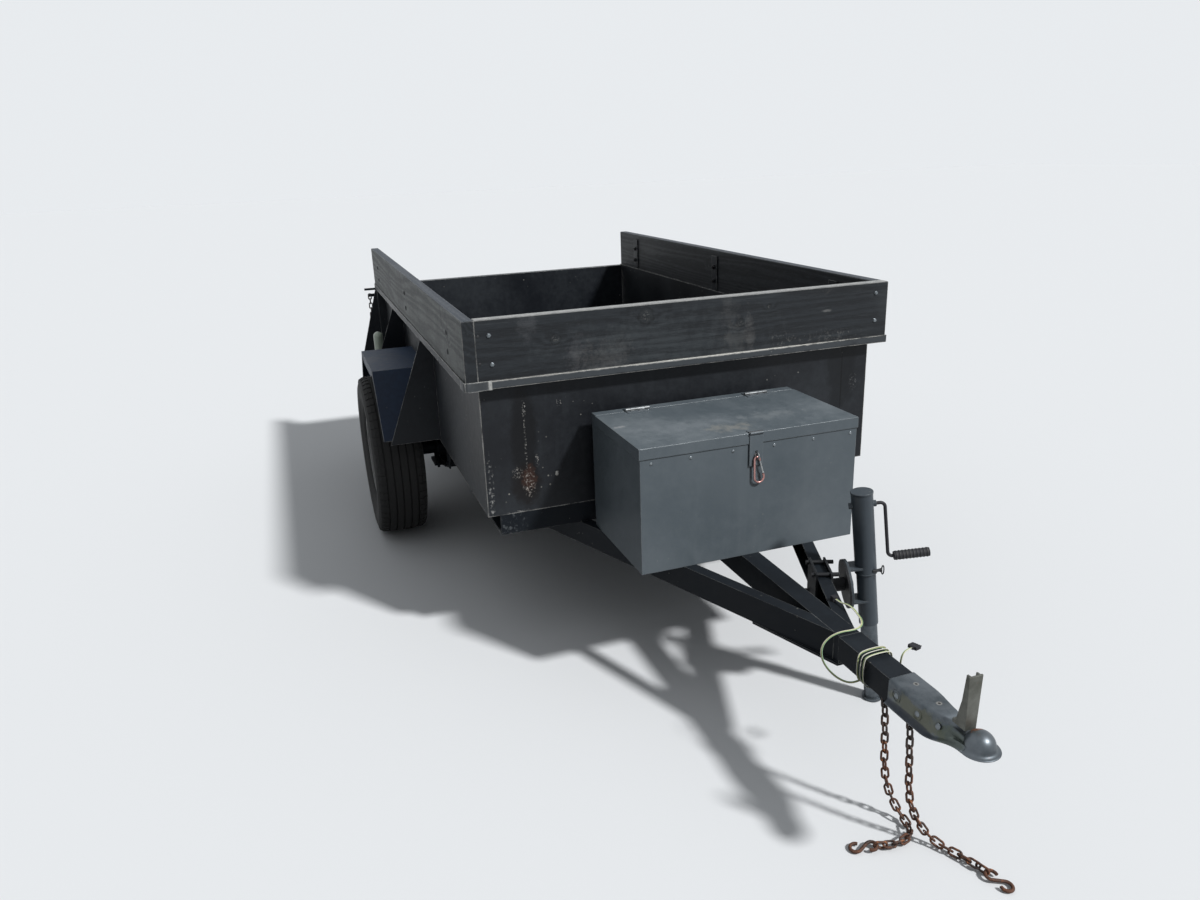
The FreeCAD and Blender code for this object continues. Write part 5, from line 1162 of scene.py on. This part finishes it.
@dataclass
class Studio:
    """Pale floor, a soft sun ahead of the trailer on its left, and a sky that is brighter overhead than at
    the horizon.
    """

    sun_from: Point = (0.585, 0.400, 0.707)
    sun: float = 3.3
    zenith: float = 0.48
    horizon: float = 0.07
    backdrop: float = 0.86
    floor_seen: Colour = (0.758, 0.774, 0.789)
    floor_glow: Colour = (0.135, 0.135, 0.14)

    @staticmethod
    def seen(tree: bpy.types.NodeTree) -> Socket:
        """Whether a ray comes from the camera, a gloss or a see-through surface.

        Args:
            tree: The node tree that asks.

        Returns:
            A socket that is 1 for such rays and 0 for the rest.
        """
        rays = tree.nodes.new("ShaderNodeLightPath")
        last = rays.outputs["Is Camera Ray"]
        for name in ("Is Glossy Ray", "Is Transmission Ray"):
            either = tree.nodes.new("ShaderNodeMath")
            either.operation = "MAXIMUM"
            tree.links.new(last, either.inputs[0])
            tree.links.new(rays.outputs[name], either.inputs[1])
            last = either.outputs[0]
        return last

    def make(self) -> None:
        """Makes the floor, the lamp and the world."""
        mesh = bpy.data.meshes.new("floor")
        mesh.from_pydata([(-40, -40, 0), (40, -40, 0), (40, 40, 0), (-40, 40, 0)], [], [(0, 1, 2, 3)])
        floor = bpy.data.objects.new("floor", mesh)
        bpy.context.scene.collection.objects.link(floor)
        graph = Graph("floor_pale")
        graph.set("Base Color", graph.blend(self.seen(graph.tree), self.floor_glow, self.floor_seen))
        graph.set("Roughness", 0.9)
        graph.set("Specular IOR Level", 0.1)
        mesh.materials.append(graph.material)
        lamp = bpy.data.lights.new("sun", "SUN")
        lamp.energy = self.sun
        lamp.angle = math.radians(5)
        sun = bpy.data.objects.new("sun", lamp)
        bpy.context.scene.collection.objects.link(sun)
        sun.matrix_world = facing((0, 0, 6), self.sun_from)
        world = bpy.data.worlds.new("sky")
        bpy.context.scene.world = world
        world.use_nodes = True
        tree = world.node_tree
        tree.nodes.clear()
        look = tree.nodes.new("ShaderNodeTexCoord")
        split = tree.nodes.new("ShaderNodeSeparateXYZ")
        tree.links.new(look.outputs["Generated"], split.inputs[0])
        dome = tree.nodes.new("ShaderNodeMapRange")
        tree.links.new(split.outputs["Z"], dome.inputs[0])
        dome.inputs[3].default_value = self.horizon
        dome.inputs[4].default_value = self.zenith
        level = tree.nodes.new("ShaderNodeMapRange")
        tree.links.new(self.seen(tree), level.inputs[0])
        tree.links.new(dome.outputs[0], level.inputs[3])
        level.inputs[4].default_value = self.backdrop
        shade = tree.nodes.new("ShaderNodeBackground")
        shade.inputs["Color"].default_value = (0.94, 0.97, 1.0, 1.0)
        tree.links.new(level.outputs[0], shade.inputs["Strength"])
        output = tree.nodes.new("ShaderNodeOutputWorld")
        tree.links.new(shade.outputs[0], output.inputs["Surface"])
        bpy.context.scene.view_settings.view_transform = "Standard"


@dataclass
class SheetMetal:
    """The finishes of the solids that stay as they are."""

    finishes: dict[str, Finish] = field(default_factory=lambda: {
        **dict.fromkeys(("floor_sheet", "gussets", "rear_posts", "tailgate", "board_stakes", "lamp_brackets",
                         "gate_hinge_straps", "gate_hinge_lugs", "gate_rod", "gate_hooks"), TUB),
        **dict.fromkeys(("side_walls", "front_panel"), SHEET),
        **dict.fromkeys(("side_rails", "cross_members", "tongue_diagonals", "tongue_beam", "tongue_tube",
                         "junction_plate", "chain_lug", "axle", "leaf_springs", "spring_hangers",
                         "spring_shackles", "axle_clamps", "hub_left", "hub_right"), FRAME),
        **dict.fromkeys(("toolbox", "toolbox_lid", "hasp_leaf"), BOX),
        **dict.fromkeys(("box_hinge_leaves", "lid_hinge_leaves", "hasp_staple"), HINGE_STEEL),
        **dict.fromkeys(("safety_chains", "chain_hooks", "gate_chains"), RUST),
        **dict.fromkeys(("rim_left", "rim_right"), GREY_RIM),
        **dict.fromkeys(("tyre_left", "tyre_right", "jack_crank", "wiring_clip", "wiring_plug"), BLACK),
        **dict.fromkeys(("coupler", "jack_leg"), ZINC),
        "fenders": TUB_SKIRTS, "jack_mount": MOUNT, "front_board": BOARD_ACROSS, "side_boards": BOARD_ALONG,
        "jack_tube": JACK, "coupler_latch": LATCH_STEEL, "marker_lamps": PALE_LENS, "tail_lamps": RED_LENS,
        "wiring_cable": YELLOW_WIRE, "spring_ring": ROSE})

    def make(self) -> None:
        """Gives each solid its finish."""
        for name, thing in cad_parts.items():
            material = self.finishes[name].material()
            thing.data.materials.clear()
            thing.data.materials.append(material)
            LOG.info("%s has %s", name, material.name)


@dataclass
class Boards(Assembly):
    """Bolts and screws of the top boards."""

    outer: float = 0.731
    backs: tuple[float, ...] = (0.264, 1.215, 2.190)
    heights: tuple[float, ...] = (0.981, 1.043)
    bright: tuple[Pair, ...] = ((-0.651, 1.071), (-0.647, 0.984), (0.684, 1.083), (0.685, 0.990))
    screws: tuple[Pair, ...] = ((-0.684, 1.071), (-0.684, 0.989))
    through: float = 0.044

    def make(self) -> None:
        """Makes the fasteners."""
        dark, nuts = [], []
        for sign in (-1, 1):
            for back in self.backs:
                for height in self.heights:
                    dark.append(facing((FRONT - back, sign * self.outer, height), (0, sign, 0)))
                    inside = (FRONT - back, sign * (self.outer - self.through), height)
                    nuts.append(facing(inside, (0, -sign, 0), 14 * back))
        self.heads("board_bolts", Head.CARRIAGE_BOLT, dark, DARK_STEEL, slot="tub_paint")
        self.heads("board_nuts", Head.NUT, nuts, DARK_STEEL, slot="tub_paint")
        front = [facing((FRONT, y, z), (1, 0, 0), 60 * y + 90 * z) for y, z in self.bright]
        self.heads("front_board_bolts", Head.HEX_BOLT, front, RIVET_STEEL, scale=0.64)
        small = [facing((FRONT, y, z), (1, 0, 0)) for y, z in self.screws]
        self.heads("front_board_screws", Head.SCREW, small, DARK_STEEL, slot="tub_paint")


@dataclass
class CornerPatch:
    """The hammered strip that wraps the lip's corner below the front board."""

    front: float = FRONT + 0.004
    side: float = 0.735
    low: float = 0.9085
    high: float = 0.9372
    reach: float = 0.082
    back: float = 0.060
    first_back: float = 0.035
    first_reach: float = 0.030
    bend: float = 0.012
    proud: float = 0.0024
    thick: float = 0.0025
    dent: float = 0.0009
    seed: int = 11

    def make(self) -> None:
        """Makes the strip."""
        chance = random.Random(self.seed)
        centre = (self.front - self.bend, -self.side + self.bend)
        radius = self.bend + self.proud
        path = [(self.front - along, -self.side - self.proud) for along in (self.back, self.first_back)]
        for step in range(9):
            angle = math.pi / 2 * (step / 8) - math.pi / 2
            path.append((centre[0] + radius * math.cos(angle), centre[1] + radius * math.sin(angle)))
        stride = (self.reach - self.first_reach) / 4
        start = self.first_reach - self.side
        path += [(self.front + self.proud, start + stride * step) for step in range(5)]
        verts = []
        for x, y in path:
            inward = Vector((centre[0] - x, centre[1] - y)).normalized() * self.thick
            dent = chance.uniform(-self.dent, self.dent)
            drop = chance.uniform(-0.001, 0.001)
            for shift in (0.0, 1.0):
                for height in (self.low + drop, self.high + drop * 0.4):
                    verts.append((x + dent + inward.x * shift, y + dent + inward.y * shift, height))
        faces = []
        for row in range(len(path) - 1):
            a, b = 4 * row, 4 * row + 4
            faces += [(a, b, b + 1, a + 1), (a + 2, a + 3, b + 3, b + 2), (a + 1, b + 1, b + 3, a + 3),
                      (a, a + 2, b + 2, b)]
        faces += [(0, 1, 3, 2), tuple(4 * (len(path) - 1) + k for k in (0, 2, 3, 1))]
        Form().add(verts, faces).piece("lip_corner_strip", STRIP, Body.TRAILER, "tub_paint", (), 50, 0.0006)


@dataclass
class Toolbox(Assembly):
    """Rivets, hinge screws and the spring ring of the box on the tongue."""

    front: float = FRONT + 0.403
    rivets: tuple[float, ...] = (-0.314, -0.194, -0.062, 0.070, 0.200, 0.326)
    rivet_height: float = 0.752
    hinge_half: float = 0.208
    axis: float = FRONT + 0.0435
    leaf_top: float = 0.801
    staple: Point = (FRONT + 0.413, 0.0095, 0.7275)
    leaf_out: float = 0.015
    screw_gap: float = 0.028
    ring_tail: float = 0.0175
    ring_long: float = 0.078
    ring_wire: float = 0.003
    ring_bends: Pair = (0.008, 0.015)

    def make(self) -> None:
        """Makes the box's small parts."""
        rivets = [facing((self.front, y, self.rivet_height), (1, 0, 0)) for y in self.rivets]
        self.heads("toolbox_rivets", Head.RIVET, rivets, RIVET_STEEL, scale=0.85)
        pin = Form().lathe([(0, 0), (0.0024, 0), (0.0024, 0.046), (0, 0.046)], 10,
                           facing((self.front + 0.0006, -0.0135, 0.8005), (0, 1, 0)))
        pin.piece("hasp_hinge_pin", DARK_STEEL, Body.LID, "black_plastic", (), 50)
        for name, way, body in (("box", -1, Body.TRAILER), ("lid", 1, Body.LID)):
            x = self.axis + way * self.leaf_out
            places = [facing((x, side * self.hinge_half + shift * self.screw_gap, self.leaf_top), (0, 0, 1))
                      for side in (-1, 1) for shift in (-1, 0, 1)]
            self.heads(f"{name}_hinge_screws", Head.SMALL_SCREW, places, RIVET_STEEL, body)
        self.ring()

    def ring(self) -> None:
        """The spring ring: a wire hook with a sprung gate, small end up."""
        wire = self.ring_wire
        small, large = self.ring_bends
        head = Vector(self.staple) - Vector((0, 0, small))
        tail = Vector((head.x, self.ring_tail, head.z - (self.ring_long - small - large)))
        along = (head - tail).normalized()
        across = Vector((0, along.z, -along.y))
        lean = math.asin((large - small) / (head - tail).length)

        def on(middle: Vector, radius: float, angle: float) -> Vector:
            """A point on a circle, its angle measured from across towards along."""
            return middle + across * radius * math.cos(angle) + along * radius * math.sin(angle)

        points = [on(head, small, lean + (math.pi - 2 * lean) * step / 12) for step in range(13)]
        points += [on(tail, large, math.pi - lean + (math.pi + 2 * lean) * step / 18) for step in range(19)]
        first, last = points[-1], points[0]
        gap = last - first
        body = Form().sweep([first + gap * 0.12] + points[::-1] + [last - gap * 0.1], wire, 12)
        gate = Form()
        gate.sweep([first + gap * share for share in (0.14, 0.2, 0.5, 0.8, 0.86)], wire * 0.82, 12)
        gate.sweep([first + gap * share for share in (0.16, 0.24)], wire * 1.2, 12)
        body.piece("spring_ring_body", ROSE, Body.TRAILER, "rose_alloy", ("spring_ring",), 60)
        gate.piece("spring_ring_gate", BRIGHT, Body.TRAILER, "bare_steel", (), 60)


@dataclass
class Tyre:
    """A tyre with four ribs, shoulder blocks and ringed side walls."""

    radius: float = 0.344
    half: float = 0.85
    blocks: int = 58
    block_foot: float = 0.33

    def outline(self) -> list[Pair]:
        """Half the section, from the middle of the tread outwards.

        Returns:
            Points of (offset, radius) in millimetres.
        """
        tread = [(0, 336), (2.5, 336), (3.5, 343.6), (27, 343.6), (28, 336), (33, 336), (34, 343.4),
                 (57, 342.8), (58, 335), (63, 334.5), (64, 338.5), (80, 337), (91, 331)]
        wall = [(97, 322), (100.3, 310), (101.2, 309.6), (101.8, 300), (102.4, 285), (101.6, 270),
                (99.6, 256), (100.1, 255.5), (99.4, 250), (98.2, 249.4), (94, 236), (90, 226), (88.5, 221),
                (86, 219.5), (85, 213), (80, 209.2), (76.2, 208.2), (76, 191.2)]
        return tread + wall

    def make(self, repeat: Repeat, side: str) -> None:
        """Makes one side's tyre.

        Args:
            repeat: The tree that sets the shoulder blocks.
            side: "left" or "right".
        """
        sign = 1 if side == "left" else -1
        body = Body.WHEEL_LEFT if side == "left" else Body.WHEEL_RIGHT
        middle = Matrix.Translation((AXLE, sign * self.half, self.radius))
        half = [(y / 1000, r / 1000) for y, r in self.outline()]
        section = [(r, y) for y, r in half] + [(r, -y) for y, r in reversed(half[1:])]
        form = Form().lathe(section, 128, middle @ Matrix.Rotation(math.pi / 2, 4, "X"), ring=True)
        form.piece(f"tyre_{side}_carcass", TYRE, body, "tyre_rubber", (f"tyre_{side}",), 40)
        block = Form()
        outline = [(-0.0105, 0.0), (0.0105, 0.0), (0.0098, 0.0128), (-0.0098, 0.0128)]
        faces = [(0, 1, 2, 3), (7, 6, 5, 4), (0, 4, 5, 1), (1, 5, 6, 2), (2, 6, 7, 3), (3, 7, 4, 0)]
        for ends in (((0.065, 0.0006), (0.079, 0.0024)), ((0.081, 0.0026), (0.0955, 0.0108))):
            verts = []
            for y, lowered in ends:
                verts += [(x, y, z + self.block_foot - (lowered if z else 0.0)) for x, z in outline]
            block.add(verts, faces)
        places = []
        for step in range(self.blocks):
            for flip, shift in ((0, 0.0), (1, 0.5)):
                around = Matrix.Rotation(math.tau * (step + shift) / self.blocks, 4, "Y")
                places.append(middle @ around @ Matrix.Rotation(math.pi * flip, 4, "Z"))
        repeat.piece(f"tyre_{side}_shoulder_blocks", block, places, TYRE, body, "tyre_rubber")


@dataclass
class Wheels(Assembly):
    """Tyres, lug nuts, hub caps and valves."""

    half: float = 0.85
    height: float = 0.344
    seat: float = 0.017
    circle: float = 0.05715
    cap_foot: float = 0.036
    valve_foot: Point = (0.145, 0.034, 0.02)

    def make(self) -> None:
        """Makes both wheels' parts."""
        ahead, out, above = self.valve_foot
        for side, sign, body in (("left", 1, Body.WHEEL_LEFT), ("right", -1, Body.WHEEL_RIGHT)):
            Tyre().make(self.repeat, side)
            face = sign * (self.half + self.seat)
            nuts = []
            for step in range(5):
                angle = math.tau * step / 5
                x, z = self.circle * math.sin(angle), self.circle * math.cos(angle)
                nuts.append(facing((AXLE + x, face, self.height + z), (0, sign, 0), 17 * step))
            self.heads(f"lug_nuts_{side}", Head.LUG_NUT, nuts, BRIGHT, body)
            cap = Form()
            foot = (AXLE, sign * (self.half + self.cap_foot), self.height)
            cap.lathe([(0, 0), (0.0275, 0), (0.0275, 0.020), (0.026, 0.023), (0.0255, 0.034), (0.022, 0.039),
                       (0, 0.041)], 32, facing(foot, (0, sign, 0)))
            cap.piece(f"dust_cap_{side}", ZINC, body, "zinc", (), 40)
            valve = Form()
            foot = (AXLE + ahead, sign * (self.half + out), self.height + above)
            valve.lathe([(0, 0), (0.005, 0), (0.0055, 0.006), (0.004, 0.012), (0.0034, 0.03), (0.0038, 0.031),
                         (0.0038, 0.037), (0, 0.0375)], 12, facing(foot, (-0.25, sign, 0)))
            valve.piece(f"valve_{side}", BLACK, body, "black_plastic", (), 50)


@dataclass
class Chains(Assembly):
    """Round-wire links in place of the flat-sided ones, one for each."""

    half_long: float = 0.0153
    half_wide: float = 0.0081
    wire: float = 0.0028

    def link(self) -> Form:
        """Makes one oval link, long along X and wide along Z.

        Returns:
            The link about its own middle.
        """
        straight = self.half_long - self.half_wide
        path = []
        for step in range(18):
            angle = math.tau * (step + 0.5) / 18
            shift = straight if math.cos(angle) > 0 else -straight
            path.append((shift + self.half_wide * math.cos(angle), 0.0, self.half_wide * math.sin(angle)))
        return Form().sweep(path, self.wire, 8, closed=True, wide=(0, 1, 0))

    def places(self, node: str) -> list[Matrix]:
        """The place of each link of a node, from its solid's own shape.

        Args:
            node: The node of flat-sided links.

        Returns:
            One matrix for each link.
        """
        work = bmesh.new()
        work.from_mesh(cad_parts[node].data)
        bmesh.ops.remove_doubles(work, verts=work.verts, dist=1e-6)
        found, seen = [], set()
        for start in work.verts:
            if start in seen:
                continue
            group, edge = [], [start]
            seen.add(start)
            while edge:
                vert = edge.pop()
                group.append(vert.co)
                for link in vert.link_edges:
                    other = link.other_vert(vert)
                    if other not in seen:
                        seen.add(other)
                        edge.append(other)
            co = np.array([tuple(c) for c in group])
            middle = (co.min(0) + co.max(0)) / 2 if len(co) < 4 else co.mean(0)
            _, axes = np.linalg.eigh(np.cov((co - middle).T))
            long, wide = Vector(axes[:, 2]), Vector(axes[:, 1])
            place = Matrix((long, wide.cross(long), wide)).transposed().to_4x4()
            place.translation = Vector(middle)
            found.append(place)
        work.free()
        return found

    def make(self) -> None:
        """Makes the chains."""
        for node, name in (("safety_chains", "safety_chain_links"), ("gate_chains", "gate_chain_links")):
            self.repeat.piece(name, self.link(), self.places(node), RUST, Body.TRAILER, "rusty_steel",
                              (node,), smooth=70)


@dataclass
class Jack(Assembly):
    """Cap, collar, grip ribs and pull pin of the swivel jack, in its own leaning frame."""

    swivel: Point = (1.15963, 0.24943, 0.38411)
    outward: Point = (0.360548, 0.926668, 0.106264)
    up: Point = (-0.038531, -0.099032, 0.994338)
    rise: float = 0.276
    sleeve: float = 0.030
    crank: float = 0.237
    drop: float = 0.166
    collar: float = 0.030
    pin_ahead: float = 0.026
    pin_foot: float = 0.013
    pin_height: float = 0.044

    def place(self, forward: float, out: float, height: float) -> Matrix:
        """A place in the jack's frame.

        Args:
            forward: How far along the tongue.
            out: How far outward from the tube's middle.
            height: How far up the tube from the swivel.

        Returns:
            The place, with the frame's axes.
        """
        y, z = Vector(self.outward), Vector(self.up)
        x = y.cross(z)
        made = Matrix((x, y, z)).transposed().to_4x4()
        made.translation = Vector(self.swivel) + x * forward + y * out + z * height
        return made

    def make(self) -> None:
        """Makes the jack's small parts."""
        cap = Form()
        cap.lathe([(0, 0), (0.0308, 0), (0.0312, 0.0006), (0.0312, 0.0052), (0.0302, 0.0062), (0, 0.0066)],
                  40, self.place(0, 0, self.rise - 0.005))
        cap.lathe([(0.0295, 0), (0.0312, 0.001), (0.0312, 0.004), (0.0295, 0.005)], 36,
                  self.place(0, 0, self.collar), ring=True)
        cap.piece("jack_cap", JACK, Body.JACK, "jack_paint", (), 40)
        start = self.sleeve + 0.0072 + 0.042
        outward = Matrix.Rotation(-math.pi / 2, 4, "X")
        height = self.crank - self.drop
        ribs = [self.place(0, start + 0.006 + 0.0095 * k, height) @ outward for k in range(10)]
        ring = Form().lathe([(0.0118, -0.0028), (0.0132, -0.002), (0.0136, 0), (0.0132, 0.002),
                             (0.0118, 0.0028)], 24, ring=True)
        self.repeat.piece("crank_grip_ribs", ring, ribs, GRIP, Body.JACK, "black_plastic", smooth=60)
        pin = Form()
        pin.lathe([(0, 0), (0.0045, 0), (0.0045, 0.019), (0.006, 0.020), (0.006, 0.024), (0.003, 0.026),
                   (0, 0.026)], 14, self.place(self.pin_ahead, self.pin_foot, self.pin_height) @ outward)
        loop = [self.place(self.pin_ahead + 0.010 * math.cos(a), 0.0405 + 0.0025 * math.sin(a),
                           self.pin_height + 0.012 * math.sin(a)).translation
                for a in (math.tau * k / 20 for k in range(20))]
        pin.sweep(loop, 0.0017, 8, closed=True)
        pin.piece("jack_pull_pin", DARK_STEEL, Body.JACK, "black_plastic", (), 50)


@dataclass
class Coupler(Assembly):
    """The pressed ball coupler: rounded channel, flared skirt and ball dome, with its holes and bolts."""

    start: float = FRONT + 1.105
    ball: float = FRONT + 1.351
    half: float = 0.0361
    top: float = 0.425
    thick: float = 0.0036
    dome: Pair = (0.0312, 0.026)
    ball_height: float = 0.410
    ringed_bolts: tuple[Point, ...] = ((0.030, 0.398, 0.0), (0.098, 0.395, 0.0022))
    plain_bolt: Point = (0.158, 0.402, 0.0065)

    def section(self, x: float) -> list[Pair]:
        """Half of the coupler's cross section at a place along it.

        Args:
            x: The place, in metres ahead of its rear edge.

        Returns:
            Points of (offset, height) from the top's middle down and out to the flared edge.
        """
        def ease(start: float, end: float) -> float:
            """A smooth step between two places."""
            share = min(max((x - start) / (end - start), 0.0), 1.0)
            return share * share * (3 - 2 * share)

        top = self.top - 0.0004 - 0.0105 * ease(0.150, 0.172) - 0.004 * ease(0.172, 0.24)
        low = 0.3635 + 0.0345 * ease(0.115, 0.235)
        wide = self.half - 0.0055 * ease(0.12, 0.24)
        high = self.half - 0.0105 * ease(0.070, 0.160) - 0.0065 * ease(0.150, 0.2)
        corner = 0.0065 + 0.004 * ease(0.15, 0.2)
        flare = 0.0086 + 0.0024 * ease(0.12, 0.24)
        points = [(0.0, top), (high - corner, top)]
        for step in range(1, 6):
            angle = math.pi / 2 * (1 - step / 5)
            points.append((high - corner + corner * math.cos(angle), top - corner + corner * math.sin(angle)))
        points += [(wide, low + 0.0115), (wide + 0.0012, low + 0.0075), (wide + 0.0045, low + 0.0045),
                   (wide + flare * 0.85, low + 0.0024), (wide + flare, low + 0.0018)]
        return points

    def shell(self) -> Form:
        """Makes the outer skin of the open channel.

        Returns:
            The skin, without its thickness.
        """
        stations = [0.0, 0.002, 0.035, 0.07] + [0.07 + 0.01 * step for step in range(1, 18)]
        rows = []
        for x in stations:
            half = self.section(x)
            row = [(-y, z) for y, z in reversed(half[1:])] + half
            rows.append([(self.start + x, y, z) for y, z in row])
        outer = [v for row in rows for v in row]
        count = len(rows[0])
        faces = [(i * count + j, i * count + j + 1, (i + 1) * count + j + 1, (i + 1) * count + j)
                 for i in range(len(rows) - 1) for j in range(count - 1)]
        return Form().add(outer, faces)

    def make(self) -> None:
        """Makes the coupler."""
        made = self.shell().piece("coupler_channel", ZINC, Body.TRAILER, "zinc", ("coupler",), 50)
        wall = made.modifiers.new("wall", "SOLIDIFY")
        wall.thickness = self.thick
        wall.offset = -1
        dome = Form()
        outside, inside = self.dome
        profile = [(0.0, outside)]
        for step in range(1, 10):
            angle = math.pi / 2 * (1 - step / 9)
            profile.append((outside * math.cos(angle), outside * math.sin(angle)))
        profile += [(0.0314, -0.004), (0.0335, -0.0072), (0.038, -0.0092), (0.0415, -0.0098),
                    (0.042, -0.0108), (0.0415, -0.0118), (0.036, -0.0118), (0.030, -0.0105), (0.0262, -0.006),
                    (inside, 0.0)]
        for step in range(1, 9):
            angle = math.pi / 2 * step / 9
            profile.append((inside * math.cos(angle), inside * math.sin(angle)))
        profile.append((0.0, 0.0262))
        dome.lathe(profile, 48, Matrix.Translation((self.ball, 0, self.ball_height)))
        dome.piece("coupler_dome", ZINC, Body.TRAILER, "zinc", (), 60)
        bolts, rings = [], []
        for sign in (-1, 1):
            for reach, height, inward in self.ringed_bolts:
                at = (self.start + reach, sign * (self.half - inward), height)
                bolts.append(facing(at, (0, sign, 0.12 if inward else 0), 23))
                rings.append(facing(at, (0, sign, 0.12 if inward else 0)))
            reach, height, inward = self.plain_bolt
            bolts.append(facing((self.start + reach, sign * (self.half - inward), height), (0, sign, 0.3), 5))
        self.heads("coupler_bolts", Head.CARRIAGE_BOLT, bolts, RIVET_STEEL, slot="zinc", scale=0.8)
        ring = Form().lathe([(0.0112, -0.001), (0.0120, 0.0016), (0.0138, 0.0016), (0.0148, -0.001)], 28,
                            ring=True)
        self.repeat.piece("coupler_embossed_rings", ring, rings, ZINC, Body.TRAILER, "zinc", smooth=60)


def main() -> None:
    """Builds the trailer's looks, one assembly after another."""
    logging.basicConfig(level=logging.INFO, format="%(name)s: %(message)s")
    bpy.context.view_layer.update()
    View().make()
    Wiring().make()
    Studio().make()
    repeat = Repeat()
    SheetMetal().make()
    for assembly in (Boards(repeat), CornerPatch(), Toolbox(repeat), Wheels(repeat), Chains(repeat),
                     Jack(repeat), Coupler(repeat)):
        assembly.make()


if __name__ == "__main__":
    main()
